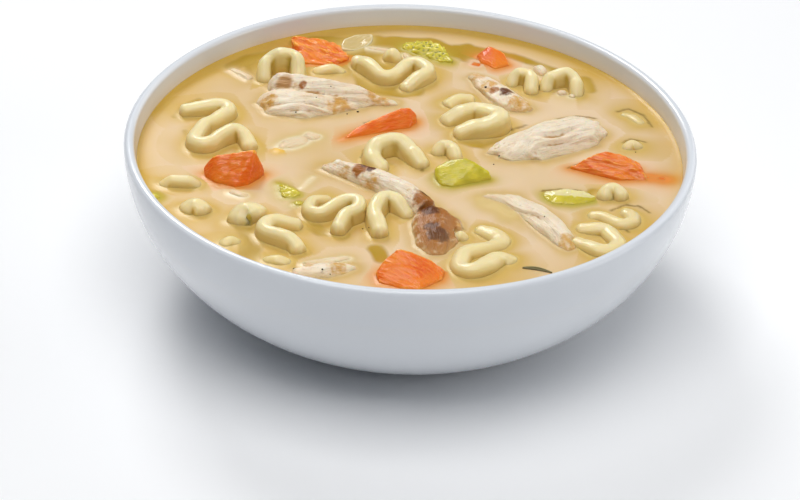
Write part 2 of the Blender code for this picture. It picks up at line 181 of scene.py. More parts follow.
def grainNoise(group, start, scale, detail):
    noise = addNode(group, "ShaderNodeTexNoise", Vector=start.outputs["Grain"], Scale=start.outputs[scale],
                    Detail=detail)
    return noise.outputs[0]


def spreadNoise(group, noise, amount, middle, clamp):
    # the noise's swing round its middle, scaled and added to a base value
    shifted = addNode(group, "ShaderNodeMath", {"operation": "SUBTRACT"}, i0=noise, i1=0.5)
    spread = addNode(group, "ShaderNodeMath", {"operation": "MULTIPLY_ADD", "use_clamp": clamp},
                     i0=shifted.outputs[0], i1=amount, i2=middle)
    return spread.outputs[0]


def readPaint(tree, name, output="Fac"):
    return addNode(tree, "ShaderNodeAttribute", {"attribute_name": name}).outputs[output]


def objectPlace(tree):
    return addNode(tree, "ShaderNodeTexCoord").outputs["Object"]


def smoothRange(tree, value, low, high):
    return addNode(tree, "ShaderNodeMapRange", {"interpolation_type": "SMOOTHSTEP"},
                   i0=value, i1=low, i2=high).outputs[0]


def mixColours(tree, share, first, second):
    node = addNode(tree, "ShaderNodeMix", {"data_type": "RGBA"}, i0=share, i6=first, i7=second)
    return node.outputs[2]


def tinted(colour, *shares):
    return tuple(value * share for value, share in zip(colour, shares))


def mottleGroup():
    # soft patches from noise, as a mask from 0 to 1
    group, start, end = newGroup("softMottle", dict(Scale=200.0, Contrast=1.0, Grain=None), "Mask",
                                 "NodeSocketFloat")
    noise = grainNoise(group, start, "Scale", 3.0)
    group.links.new(spreadNoise(group, noise, start.outputs["Contrast"], 0.5, True), end.inputs["Mask"])
    return group


def reliefGroup():
    # height of a wet, slightly uneven skin: broad swells and fine pits
    inputs = {"Swell Scale": 300.0, "Pit Scale": 1500.0, "Pit Share": 0.3, "Grain": None}
    group, start, end = newGroup("wetRelief", inputs, "Height", "NodeSocketFloat")
    swell = grainNoise(group, start, "Swell Scale", 2.0)
    pits = grainNoise(group, start, "Pit Scale", 2.0)
    both = addNode(group, "ShaderNodeMix", {"data_type": "FLOAT"}, i0=start.outputs["Pit Share"], i2=swell,
                   i3=pits)
    group.links.new(both.outputs[0], end.inputs["Height"])
    return group


def stainGroup():
    # a colour laid over another where a mask, broken up by noise, is high
    inputs = {"Base": "colour", "Stain": "colour", "Mask": 0.0, "Break Scale": 800.0, "Break Amount": 0.4,
              "Grain": None}
    group, start, end = newGroup("brokenStain", inputs, "Color", "NodeSocketColor")
    noise = grainNoise(group, start, "Break Scale", 3.0)
    broken = spreadNoise(group, noise, start.outputs["Break Amount"], start.outputs["Mask"], False)
    share = smoothRange(group, broken, 0.15, 0.85)
    group.links.new(mixColours(group, share, start.outputs["Base"], start.outputs["Stain"]),
                    end.inputs["Color"])
    return group


groups = {"mottle": mottleGroup(), "relief": reliefGroup(), "stain": stainGroup()}


def startMaterial(name, roughness, subsurface=0.0, radius=(1.0, 0.6, 0.3), reach=1.0, coat=0.0, gloss=0.4):
    material = bpy.data.materials.new(name)
    material.use_nodes = True
    tree = material.node_tree
    shader = tree.nodes["Principled BSDF"]
    shader.inputs["Roughness"].default_value = roughness
    shader.inputs["Subsurface Weight"].default_value = subsurface
    shader.inputs["Subsurface Radius"].default_value = radius
    shader.inputs["Subsurface Scale"].default_value = reach * mm
    shader.inputs["Coat Weight"].default_value = coat
    shader.inputs["Coat Roughness"].default_value = 0.12
    shader.inputs["Specular IOR Level"].default_value = gloss
    return material, tree, shader


def plainMaterial(name, colour, roughness, **looks):
    material, _, shader = startMaterial(name, roughness, **looks)
    shader.inputs["Base Color"].default_value = (*colour, 1.0)
    return material


def useGroup(tree, name, inputs):
    node = tree.nodes.new("ShaderNodeGroup")
    node.node_tree = groups[name]
    for title, value in inputs.items():
        feed(tree, node.inputs[title], value)
    return node.outputs[0]


def mottle(tree, scale, contrast, grain):
    return useGroup(tree, "mottle", {"Scale": scale, "Contrast": contrast, "Grain": grain})


def stain(tree, base, colour, mask, scale, amount, grain):
    return useGroup(tree, "stain", {"Base": base, "Stain": colour, "Mask": mask, "Break Scale": scale,
                                    "Break Amount": amount, "Grain": grain})


def finishMaterial(tree, shader, colour, bump, swell, pits, pitShare, grain):
    # colour goes to the base colour; a relief of swells and pits, bump millimetres deep, goes to the normal
    tree.links.new(colour, shader.inputs["Base Color"])
    height = useGroup(tree, "relief", {"Swell Scale": swell, "Pit Scale": pits, "Pit Share": pitShare,
                                       "Grain": grain})
    bumped = addNode(tree, "ShaderNodeBump", Height=height, Strength=1.0, Distance=bump * mm)
    tree.links.new(bumped.outputs["Normal"], shader.inputs["Normal"])


print("groups ready")


# bowl

bowlShape = dict(rim=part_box("bowl")[1].x / mm, height=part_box("bowl")[1].z / mm, foot=38.4, curve=2.05,
                 belly=1.45, wall=3.6, lip=2.8, floor=4.5, footRing=5.0, recess=1.5, steps=240, wallSteps=44)
glaze = dict(colour=(0.73, 0.76, 0.80), clay=(0.74, 0.70, 0.64), brothReflection=(0.84, 0.66, 0.38), roughness=0.2)


def outerRadius(z):
    reach = 1 - (1 - z / bowlShape["height"]) ** bowlShape["curve"]
    return bowlShape["foot"] + (bowlShape["rim"] - bowlShape["foot"]) * reach ** (1 / bowlShape["belly"])


def innerRadius(z):
    share = z / bowlShape["height"]
    return outerRadius(z) - bowlShape["wall"] + (bowlShape["wall"] - bowlShape["lip"]) * share ** 6


def turnProfile(profile, steps):
    # turns a profile that starts and ends on the axis; returns points and faces
    inner = np.array(profile[1:-1])
    angles = np.linspace(0, 2 * math.pi, steps, endpoint=False)
    rings = np.stack([np.outer(inner[:, 0], np.cos(angles)), np.outer(inner[:, 0], np.sin(angles)),
                      np.repeat(inner[:, 1:], steps, axis=1)], axis=-1).reshape(-1, 3)
    points = np.vstack((rings, [(0, 0, profile[0][1]), (0, 0, profile[-1][1])]))
    faces = []
    for ring in range(len(inner) - 1):
        for side in range(steps):
            after = (side + 1) % steps
            low = ring * steps
            faces.append((low + side, low + steps + side, low + steps + after, low + after))
    last = (len(inner) - 1) * steps
    for side in range(steps):
        after = (side + 1) % steps
        faces.append((len(rings), side, after))
        faces.append((len(rings) + 1, last + after, last + side))
    return points, faces


def glazeMaterial():
    material, tree, shader = startMaterial("whiteGlaze", glaze["roughness"], coat=0.35)
    place = objectPlace(tree)
    cloud = mottle(tree, 28.0, 0.9, place)
    white = mixColours(tree, cloud, glaze["colour"], tinted(glaze["colour"], 1.03, 1.03, 1.03))
    bare = readPaint(tree, "bare")
    colour = stain(tree, white, glaze["clay"], bare, 900.0, 0.5, place)
    # painted reflection of the broth on the inner glaze
    withReflection = mixColours(tree, readPaint(tree, "brothReflection"), colour, glaze["brothReflection"])
    finishMaterial(tree, shader, withReflection, 0.25, 45.0, 700.0, 0.06, place)
    dull = addNode(tree, "ShaderNodeMapRange", i0=bare, i3=glaze["roughness"], i4=0.75)
    tree.links.new(dull.outputs[0], shader.inputs["Roughness"])
    return material


def makeBowl():
    shape = bowlShape
    lip = shape["lip"] / 2
    base = shape["height"] - lip
    middle = (outerRadius(base) + innerRadius(base)) / 2
    half = (outerRadius(base) - innerRadius(base)) / 2
    low = shape["floor"] + 1
    rises = [(step / shape["wallSteps"]) ** 1.6 for step in range(shape["wallSteps"] + 1)]
    profile = [(0, shape["floor"])]
    for share in np.linspace(0.15, 0.97, 10):
        profile.append((innerRadius(low) * share, shape["floor"] + share ** 3))
    profile += [(innerRadius(low + (base - low) * rise), low + (base - low) * rise) for rise in rises]
    for angle in np.radians(np.arange(165, 0, -15)):
        profile.append((middle + half * math.cos(angle), base + lip * math.sin(angle)))
    profile += [(outerRadius(base * rise), base * rise) for rise in reversed(rises)]
    ring = shape["foot"] - shape["footRing"]
    profile += [(shape["foot"] - 0.6, 0), (ring + 0.6, 0), (ring, 0.1), (ring - 0.7, 0.7)]
    profile += [(ring - shape["recess"], shape["recess"]), (ring * 0.5, shape["recess"]),
                (0, shape["recess"])]
    points, faces = turnProfile(profile, shape["steps"])
    piece = makePiece("soup_bowl", points, [face[::-1] for face in faces], glazeMaterial(), ["bowl"])
    radius = np.hypot(points[:, 0], points[:, 1])
    onRing = fade(radius, ring - 1.2, ring) * fade(-radius, -shape["foot"] - 0.4, -shape["foot"])
    paint(piece, "bare", fade(-points[:, 2], -0.5, -0.15) * onRing)
    inner = radius < outerRadius(base) - shape["lip"] * 0.6
    # painted reflection: the broth's gold laid on the inner glaze, strongest at the broth's level
    paint(piece, "brothReflection", inner * np.exp(-np.abs(points[:, 2] - level) / 2.0) * 0.75)
    return piece


makeBowl()
print("bowl made")


# noodles

noodles = {  # head: heading from +X at the start; legs and bends: the route; rises: crest above the broth
    "noodle_01": dict(head=16, legs=(11.0, 8.2, 7.2, 7.2, 5.4), bends=(-147, 24, 153, -117), loop=2.8,
                      rises=(3.0, 3.8, 3.5, 3.5, 3.8, 5.0, 2.6), wide=1.12),
    "noodle_02": dict(head=92, legs=(4.2, 3.6, 4.0), bends=(-88, -92), loop=3.2,
                      rises=(1.6, 5.6, 7.8, 7.2, 2.6)),
    "noodle_03": dict(head=8, legs=(7.0, 1.9), bends=(-37,), loop=3.1, rises=(1.0, 2.2, 0.6)),
    "noodle_04": dict(head=12, legs=(1.0, 7.8, 6.3, 2.4, 9.6), bends=(-69, 119, -111, -86), loop=2.8,
                      rises=(3.4, 4.6, 3.8, 3.6, 4.4, 4.0, 2.0), wide=1.12),
    "noodle_05": dict(head=-8, legs=(1.8, 3.0), bends=(-22,), loop=3.0, rises=(2.2, 3.6, 2.0), wide=1.1),
    "noodle_06": dict(head=72, legs=(2.2, 1.0, 5.0), bends=(-90, -78), loop=2.5,
                      rises=(1.0, 4.6, 4.5, 2.0)),
    "noodle_07": dict(head=106, legs=(1.2, 3.0, 5.7), bends=(-90, -102), loop=2.9,
                      rises=(1.0, 4.5, 5.5, 4.0, 0.6)),
    "noodle_08": dict(head=40, legs=(5.2, 3.7), bends=(-30,), loop=3.0, rises=(1.4, 2.2, 1.6), wide=1.2),
    "noodle_09": dict(head=24, legs=(9.0, 4.6, 11.3), bends=(-50, -138), loop=3.1,
                      rises=(2.0, 4.6, 5.0, 5.6, 4.4, 2.6), wide=1.4),
    "noodle_10": dict(head=77, legs=(1.3, 4.0), bends=(-154,), loop=2.4, rises=(1.6, 3.6, 3.2, 1.8),
                      wide=1.1),
    "noodle_11": dict(head=158, legs=(2.2, 2.6, 9.0), bends=(-118, -94), loop=4.4,
                      rises=(2.4, 4.2, 5.8, 5.8, 4.2, 2.2), wide=1.3),
    "noodle_12": dict(head=-155, legs=(4.0, 3.4, 5.2, 1.4, 6.0), bends=(53, 146, -196, 44), loop=3.1,
                      rises=(1.0, 2.5, 3.4, 4.6, 5.4, 4.8, 3.4)),
    "noodle_13": dict(head=106, legs=(8.6, 5.2, 6.4), bends=(-34, -120), loop=2.6,
                      rises=(3.4, 4.6, 5.6, 4.8, 1.4), wide=1.1),
    "noodle_14": dict(head=-179, legs=(7.1, 6.8, 3.0), bends=(150, -30), loop=3.5,
                      rises=(2.2, 3.6, 3.8, 4.2, 2.6), wide=1.15),
    "noodle_15": dict(head=77, legs=(2.3, 1.2), bends=(-140,), loop=2.5, rises=(2.4, 4.6, 4.2), wide=1.7),
    "noodle_16": dict(head=68, legs=(1.2, 1.2), bends=(-100,), loop=2.8, rises=(0.6, 1.5, 0.5)),
    "noodle_17": dict(head=43, legs=(1.2, 1.8), bends=(-98,), loop=3.3, rises=(1.6, 3.2, 2.2), wide=1.3),
    "noodle_18": dict(head=46, legs=(1.2, 1.2, 7.0), bends=(-56, 14), loop=2.5, rises=(0.6, 2.8, 2.8, 0.8)),
    "noodle_19": dict(head=14, legs=(2.0, 5.2), bends=(-27,), loop=3.0, rises=(0.6, 1.6, 0.6)),
    "noodle_20": dict(head=-36, legs=(6.8, 8.6, 4.2, 7.0, 1.8), bends=(-114, 52, 150, -86), loop=3.0,
                      rises=(1.2, 1.8, 1.8, 2.4, 2.4, 3.2, 2.6, 0.9), wide=1.38, back=2.4),
    "noodle_21": dict(head=-14, legs=(3.5, 5.0, 1.7, 1.2), bends=(-26, 130, 85), loop=2.5,
                      rises=(0.9, 1.6, 2.0, 1.8, 1.0), wide=1.15),
    "noodle_22": dict(head=-5, legs=(6.2, 4.0, 7.6), bends=(-63, -153), loop=3.9,
                      rises=(1.4, 2.3, 2.4, 2.4, 1.4), wide=1.25),
    "noodle_23": dict(head=90, legs=(1.2, 2.4), bends=(-150,), loop=2.4, rises=(2.0, 3.8, 2.4), wide=1.1),
    "noodle_24": dict(head=-25, legs=(3.3, 4.8), bends=(-31,), loop=3.2, rises=(0.4, 0.8, 0.4)),
    "noodle_25": dict(head=82, legs=(1.1, 2.0), bends=(-110,), loop=2.4, rises=(0.5, 2.0, 0.5)),
    "noodle_26": dict(head=24, legs=(1.2, 1.2), bends=(-66,), loop=2.4, rises=(1.0, 2.2, 0.6)),
}
ribbon = dict(width=4.2, flare=0.20, flareDepth=5.2, depth=7.5, step=0.42, softening=1.0, sections=9,
              endTaper=1.5, endDrop=1.6, wobble=0.2, uneven=0.10)
# ridge is a painted highlight along the crest's top, wall is painted shade low on the sides, and fold is
# painted shade on the inner side of bends
noodleLook = dict(ridgeHighlight=(0.87, 0.76, 0.44), crest=(0.79, 0.64, 0.29), wall=(0.74, 0.55, 0.17),
                  fold=(0.58, 0.39, 0.06), soaked=(0.68, 0.47, 0.15))


def along(values, share):
    place = np.clip(share, 0, 1) * (len(values) - 1)
    first = np.minimum(place.astype(int), len(values) - 2)
    part = place - first
    part = part * part * (3 - 2 * part)
    values = np.asarray(values)
    return values[first] + (values[first + 1] - values[first]) * part


def foldedRoute(head, legs, bends, loop):
    # straight legs joined by arcs, as evenly spaced points with the corners softened
    heading = math.radians(head)
    place = np.zeros(2)
    points = [place]
    for leg, bend in zip(legs, (*bends, 0)):
        for _ in range(8):
            place = place + leg / 8 * np.array((math.cos(heading), math.sin(heading)))
            points.append(place)
        turn = math.radians(bend) / 16
        for _ in range(16 if bend else 0):
            heading += turn / 2
            chord = 2 * loop * math.sin(abs(turn) / 2)
            place = place + chord * np.array((math.cos(heading), math.sin(heading)))
            points.append(place)
            heading += turn / 2
    points = np.array(points)
    gone = np.concatenate(([0], np.cumsum(np.hypot(*np.diff(points, axis=0).T))))
    count = max(6, round(gone[-1] / ribbon["step"]))
    even = np.linspace(0, gone[-1], count)
    route = np.column_stack([np.interp(even, gone, points[:, axis]) for axis in (0, 1)])
    reach = int(3 * ribbon["softening"] / ribbon["step"])
    weights = np.exp(-0.5 * (np.arange(-reach, reach + 1) * ribbon["step"] / ribbon["softening"]) ** 2)
    if count > reach + 1:
        padded = np.vstack((2 * route[0] - route[reach:0:-1], route,
                            2 * route[-1] - route[-2:-reach - 2:-1]))
        weights /= weights.sum()
        route = np.column_stack([np.convolve(padded[:, axis], weights, "valid") for axis in (0, 1)])
    return route, even / even[-1], gone[-1]


def ribbonSection(width, depth):
    # (across, below the crest) round the section: a rounded crest on walls that lean apart
    half = width / 2
    cap = half * 1.1
    angles = np.linspace(-math.pi / 2, math.pi / 2, 2 * ribbon["sections"] - 1)
    top = [(half * math.sin(angle), cap * (1 - math.cos(angle))) for angle in angles]
    drops = np.linspace(cap, depth, 7)[1:]
    walls = half * (1 + ribbon["flare"] * fade(drops, cap, ribbon["flareDepth"]))
    right = list(zip(walls, drops))
    left = [(-across, drop) for across, drop in reversed(right)]
    return np.array(top + right + left)


def makeNoodleShape(name, head, legs, bends, loop, rises, seed, wide=1.0, back=0.0):
    route, share, length = foldedRoute(head, legs, bends, loop)
    section = ribbonSection(ribbon["width"], ribbon["depth"])
    heading = np.gradient(route, axis=0)
    heading /= np.linalg.norm(heading, axis=1)[:, None]
    across = np.column_stack((-heading[:, 1], heading[:, 0]))
    turn = np.gradient(np.unwrap(np.arctan2(heading[:, 1], heading[:, 0]))) / (length / len(route))
    marks = np.column_stack((share * length / 5, np.full(len(share), seed * 3.7), np.zeros(len(share))))
    route = route + across * (ribbon["wobble"] * latticeNoise(marks * 1.3, 5))[:, None]
    wide = wide * (1 + ribbon["uneven"] * latticeNoise(marks, 7))
    fromEnd = np.minimum(share, 1 - share) * length
    taper = np.sqrt(np.clip(1 - (1 - np.clip(fromEnd / ribbon["endTaper"], 0, 1)) ** 2, 0.02, 1))
    wide = wide * taper
    crest = along(rises, share) + 0.10 * latticeNoise(marks * 1.7, 11) - (1 - taper) * ribbon["endDrop"]
    count, sides = len(route), len(section)
    offset = section[None, :, 0] * wide[:, None]
    drop = section[None, :, 1] * np.ones((count, 1))
    points = np.empty((count, sides, 3))
    points[..., :2] = route[:, None] + across[:, None] * offset[..., None]
    points[..., 2] = level + crest[:, None] - drop
    points += 0.05 * latticeNoise(points.reshape(-1, 3) * 0.9 + seed, 13).reshape(count, sides, 1)
    # painted shade on the inner side of the bends, fading in below the crest
    inside = np.clip(turn[:, None] * np.sign(offset) * 2.6, -1, 1) * fade(drop, 0.3, 2.2)
    grain = np.stack([share[:, None] * length * 0.15 + 0 * drop, offset, drop], -1).reshape(-1, 3)
    paints = dict(drop=drop.ravel(), fold=np.clip(inside, 0, 1).ravel(), grain=grain * mm)
    points = points.reshape(-1, 3)
    low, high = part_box(name)
    centre = np.array(((low.x + high.x) / 2, (low.y + high.y) / 2)) / mm
    points[:, :2] += centre + (0, back) - (points[:, :2].min(0) + points[:, :2].max(0)) / 2
    return points, tubeFaces(count, sides), paints


def noodleMaterial():
    look = noodleLook
    material, tree, shader = startMaterial("eggNoodle", 0.28, subsurface=0.75, radius=(1.0, 0.80, 0.38),
                                           reach=1.9, coat=0.08, gloss=0.3)
    grain = readPaint(tree, "grain", "Vector")
    place = objectPlace(tree)
    # painted shade: darker further down the walls
    wallShade = smoothRange(tree, readPaint(tree, "drop"), 0.5, 5.4)
    patches = mottle(tree, 260.0, 1.2, place)
    pale = mixColours(tree, patches, look["crest"], tinted(look["crest"], 0.95, 0.94, 0.84))
    # painted highlight: lighter along the top of the crest
    ridgeHighlight = smoothRange(tree, readPaint(tree, "drop"), 0.0, 1.7)
    topped = mixColours(tree, ridgeHighlight, look["ridgeHighlight"], pale)
    body = mixColours(tree, wallShade, topped, look["wall"])
    # painted shade in the inner folds
    folded = stain(tree, body, look["fold"], readPaint(tree, "fold"), 500.0, 0.25, place)
    wet = readPaint(tree, "soak")
    colour = mixColours(tree, wet, folded, look["soaked"])
    finishMaterial(tree, shader, colour, 0.35, 420.0, 1800.0, 0.2, grain)
    return material


materials = {}
shownSolids = []  # (kind, points, faces) of all that stands in or under the broth


def soakOf(points, reach=0.9):
    return np.exp(-np.clip(points[:, 2] - level, 0, None) / reach)


def makeNoodles():
    material = materials["noodle"] = noodleMaterial()
    for index, (name, shape) in enumerate(noodles.items()):
        points, faces, paints = makeNoodleShape(name, seed=index + 1, **shape)
        piece = makePiece("egg_" + name, points, faces, material, [name])
        for title, values in paints.items():
            paint(piece, title, values)
        paint(piece, "soak", soakOf(points, 1.5) * 0.8)
        shownSolids.append(("noodle", points, faces))


makeNoodles()
print("noodles made")


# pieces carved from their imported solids

def carveBase(name, voxel, rounding):
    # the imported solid, remeshed finely and rounded; returns a mesh with points, normals and edges
    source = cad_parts[name]
    worker = bpy.data.objects.new(name + "_worker", source.data.copy())
    bpy.context.scene.collection.objects.link(worker)
    remesh = worker.modifiers.new("Fine", "REMESH")
    remesh.mode = "VOXEL"
    remesh.voxel_size = voxel * mm
    graph = bpy.context.evaluated_depsgraph_get()
    mesh = bpy.data.meshes.new_from_object(worker.evaluated_get(graph))
    bpy.data.objects.remove(worker)
    points = pointsOf(mesh)
    edges = edgesOf(mesh)
    for _ in range(rounding):
        points += (neighbourMean(points, edges) - points) / 2
    mesh.vertices.foreach_set("co", (points * mm).ravel())
    mesh.update()
    return mesh, points, edges


def finishCarving(points, mesh, name, shape, kind, paints):
    # nudges a piece from its solid's place where the shape says so, and makes it
    middle = (points.min(0) + points.max(0))[:2] / 2
    stretch = (shape.get("wider", 1), shape.get("deeper", 1))
    points[:, :2] = middle + (points[:, :2] - middle) * stretch + shape.get("move", (0, 0))
    taller = np.where(points[:, 2] > level, shape.get("taller", 1), 1)
    points[:, 2] = level + (points[:, 2] - level) * taller
    faces = [tuple(face.vertices) for face in mesh.polygons]
    bpy.data.meshes.remove(mesh)
    piece = makePiece("cooked_" + name, points, faces, materials[kind], [name])
    for title, values in paints.items():
        paint(piece, title, values)
    shownSolids.append((kind, points, faces))


def edgeOf(points, normals, edges):
    # above 0 on ridges and corners, below 0 in hollows, in millimetres of standing proud
    proud = np.einsum("ij,ij->i", points - neighbourMean(points, edges), normals)
    for _ in range(3):
        proud = (proud + neighbourMean(proud, edges)) / 2
    return proud


def spine(points):
    # a piece's long direction, bowed like the piece: distance along and across it, in millimetres
    flat = points[:, :2] - points[:, :2].mean(0)
    values, vectors = np.linalg.eigh(np.cov(flat.T))
    long = vectors[:, 1] * (1 if vectors[0, 1] >= 0 else -1)
    side = np.array((-long[1], long[0]))
    forward, across = flat @ long, flat @ side
    bow = np.polyfit(forward, across, 2)
    return forward, across - np.polyval(bow, forward)


# carrots

carrots = {  # grain: heading of the fibres; rough: depth of the torn fibres on top
    "carrot_1": dict(grain=-25, rough=0.70, seed=1),
    "carrot_2": dict(grain=-50, rough=0.10, seed=2),
    "carrot_3": dict(grain=28, rough=0.08, seed=3),
    "carrot_4": dict(grain=5, rough=0.16, seed=4, taller=1.30),
    "carrot_5": dict(grain=-15, rough=0.38, seed=5),
    "carrot_6": dict(grain=-30, rough=0.14, seed=6),
}
# edge is a painted highlight along the ridges and corners
carrotLook = dict(flesh=(0.76, 0.09, 0.003), face=(0.90, 0.24, 0.006), edge=(0.96, 0.40, 0.045),
                  soaked=(0.84, 0.24, 0.02), thread=(0.92, 0.30, 0.05))


def carrotMaterial():
    look = carrotLook
    material, tree, shader = startMaterial("cookedCarrot", 0.30, subsurface=0.5, radius=(1.0, 0.30, 0.06),
                                           reach=1.8, coat=0.35, gloss=0.25)
    grain = readPaint(tree, "grain", "Vector")
    place = objectPlace(tree)
    patches = mottle(tree, 130.0, 2.6, place)
    flesh = mixColours(tree, patches, look["flesh"], look["face"])
    threads = mottle(tree, 1400.0, 3.2, grain)
    upper = addNode(tree, "ShaderNodeMath", {"operation": "MULTIPLY"}, i0=threads,
                    i1=readPaint(tree, "torn"))
    streaked = mixColours(tree, upper.outputs[0], flesh, look["thread"])
    # painted highlight along the ridges and corners
    edged = stain(tree, streaked, look["edge"], readPaint(tree, "edge"), 900.0, 0.5, place)
    colour = mixColours(tree, readPaint(tree, "soak"), edged, look["soaked"])
    finishMaterial(tree, shader, colour, 0.5, 700.0, 2600.0, 0.4, grain)
    return material


def makeCarrots():
    materials["carrot"] = carrotMaterial()
    for name, shape in carrots.items():
        mesh, points, edges = carveBase(name, 0.36, 4)
        normals = normalsOf(mesh)
        turn = math.radians(shape["grain"])
        forward = points[:, 0] * math.cos(turn) + points[:, 1] * math.sin(turn)
        across = points[:, 1] * math.cos(turn) - points[:, 0] * math.sin(turn)
        grain = np.column_stack((forward * 0.22, across, points[:, 2]))
        torn = fade(normals[:, 2], 0.35, 0.8)
        fibres = layeredNoise(grain * 1.25, 2, shape["seed"]) * shape["rough"] * (0.3 + torn)
        lumps = layeredNoise(points * 0.16, 2, shape["seed"] + 20) * 0.42
        points = points + normals * (fibres + lumps)[:, None]
        proud = edgeOf(points, normals, edges)
        # the edge mask is a painted highlight where the surface stands proud
        paints = dict(grain=grain * mm, torn=torn * min(1, shape["rough"] * 4),
                      edge=fade(proud, 0.008, 0.05) * 0.9,
                      soak=soakOf(points) * 0.6)
        finishCarving(points, mesh, name, shape, "carrot", paints)


makeCarrots()
print("carrots made")


# celery

celeries = {  # leafy: depth of the crinkle; skin: share of the skin's green on the sides
    "celery_1": dict(leafy=0.80, flesh=0.10, seed=1),
    "celery_2": dict(leafy=0.05, flesh=0.10, seed=2, taller=1.35),
    "celery_3": dict(leafy=0.22, flesh=1.00, seed=3),
    "celery_4": dict(leafy=0.34, flesh=0.10, seed=4),
}
# dark is painted shade for the hollows
celeryLook = dict(green=(0.48, 0.42, 0.025), pale=(0.80, 0.67, 0.05), flesh=(0.86, 0.78, 0.42),
                  dark=(0.17, 0.19, 0.012), soaked=(0.56, 0.44, 0.07))


def celeryMaterial():
    look = celeryLook
    material, tree, shader = startMaterial("cookedCelery", 0.24, subsurface=0.45, radius=(0.8, 1.0, 0.15),
                                           reach=1.6, coat=0.25, gloss=0.3)
    grain = readPaint(tree, "grain", "Vector")
    place = objectPlace(tree)
    patches = mottle(tree, 300.0, 1.8, place)
    skin = mixColours(tree, patches, look["green"], look["pale"])
    # painted shade: the dark colour laid in the hollows
    hollowShaded = stain(tree, skin, look["dark"], readPaint(tree, "hollowShade"), 700.0, 0.4, place)
    edged = stain(tree, hollowShaded, look["flesh"], readPaint(tree, "flesh"), 700.0, 0.6, place)
    colour = mixColours(tree, readPaint(tree, "soak"), edged, look["soaked"])
    finishMaterial(tree, shader, colour, 0.35, 600.0, 2400.0, 0.3, grain)
    return material


def makeCelery():
    materials["celery"] = celeryMaterial()
    for name, shape in celeries.items():
        mesh, points, edges = carveBase(name, 0.34, 5)
        normals = normalsOf(mesh)
        forward, across = spine(points)
        grain = np.column_stack((forward * 0.3, across, points[:, 2]))
        crinkle = layeredNoise(points, 2, shape["seed"] + 40) * shape["leafy"]
        crinkle = crinkle * fade(normals[:, 2], -0.2, 0.5)
        lumps = layeredNoise(points * 0.2, 2, shape["seed"] + 50) * 0.35
        points = points + normals * (crinkle + lumps)[:, None]
        proud = edgeOf(points, normals, edges)
        cut = across + 0.5 * latticeNoise(points * 0.9, 57)
        upper = fade(normals[:, 2], 0.35, 0.7) * fade(cut, -0.4, 0.4)
        pale = fade(proud, 0.02, 0.08) * (0.45 if shape["leafy"] < 0.3 else 0.14)
        # painted shade in the hollows
        hollowShade = fade(-proud, 0.004, 0.05) * min(1, shape["leafy"] * 3)
        paints = dict(grain=grain * mm, flesh=np.clip(upper * shape["flesh"] + pale, 0, 1), hollowShade=hollowShade,
                      soak=soakOf(points) * 0.7)
        finishCarving(points, mesh, name, shape, "celery", paints)


makeCelery()
print("celery made")


# chicken

chickens = {  # fibre: depth of the grooves; browned: light browning all over;
    # sears and painted shade: (along 0-1, across -1 to 1, reach, kind); the kind shade is painted shade
    "chicken_1": dict(fibre=0.30, ragged=0.5, seed=1, browned=0.30,
                      searsAndShade=[(0.33, 0.15, 1.3, "brown"), (0.62, 0.5, 4.0, "shade"),
                             (0.60, -0.5, 4.5, "tan"), (0.10, -0.4, 3.5, "tan"),
                             (0.20, 0.3, 3.0, "shade"), (0.85, 0.0, 4.0, "tan")]),
    "chicken_2": dict(fibre=0.12, ragged=0.3, seed=2, searsAndShade=[]),
    "chicken_3": dict(fibre=0.20, ragged=0.4, seed=3, browned=0.30,
                      searsAndShade=[(0.10, 0.0, 3.4, "tan"), (0.62, 0.1, 2.5, "sear"), (0.86, 0.0, 4.4, "tan"),
                             (0.38, -0.2, 3.6, "tan"), (0.50, -0.3, 1.8, "brown")]),
    "chicken_4": dict(fibre=0.34, ragged=0.5, seed=4, searsAndShade=[]),
    "chicken_5": dict(fibre=0.22, ragged=0.4, seed=5, browned=0.30, deeper=1.08,
                      searsAndShade=[(0.04, 0.2, 2.8, "tan"), (0.22, -0.7, 2.4, "tan"), (0.30, 0.45, 1.4, "sear"),
                             (0.35, 0.25, 1.7, "sear"), (0.41, 0.1, 1.5, "sear"), (0.33, -0.1, 2.6, "brown"),
                             (0.94, 0.1, 4.2, "brown"), (0.90, 0.5, 1.8, "sear"),
                             (0.48, -0.8, 2.5, "tan")]),
    "chicken_6": dict(fibre=0.13, ragged=0.4, seed=6, move=(-0.4, 1.2), wider=1.28, deeper=1.12,
                      searsAndShade=[(0.2, 0.0, 6.5, "brown"), (0.5, 0.0, 7.0, "brown"), (0.8, 0.0, 6.0, "brown"),
                             (0.34, -0.1, 3.0, "sear"), (0.50, 0.2, 1.8, "sear"),
                             (0.82, 0.3, 2.4, "sear"), (0.62, 0.6, 2.2, "tan"), (0.66, -0.5, 2.6, "tan")]),
    "chicken_7": dict(fibre=0.26, ragged=0.4, seed=7,
                      searsAndShade=[(0.93, 0.1, 4.2, "tan"), (0.98, 0.0, 2.5, "tan")]),
    "chicken_8": dict(fibre=0.22, ragged=0.4, seed=8, browned=0.30,
                      searsAndShade=[(0.70, -0.2, 3.2, "tan"), (0.25, 0.3, 1.6, "tan")]),
}
# shade is painted shade, laid in the hollows and on the shade marks
chickenLook = dict(meat=(0.81, 0.65, 0.45), shade=(0.50, 0.27, 0.10), tan=(0.64, 0.35, 0.08),
                   brown=(0.37, 0.135, 0.026), sear=(0.125, 0.034, 0.006), pale=(0.89, 0.80, 0.64),
                   soaked=(0.72, 0.50, 0.20))


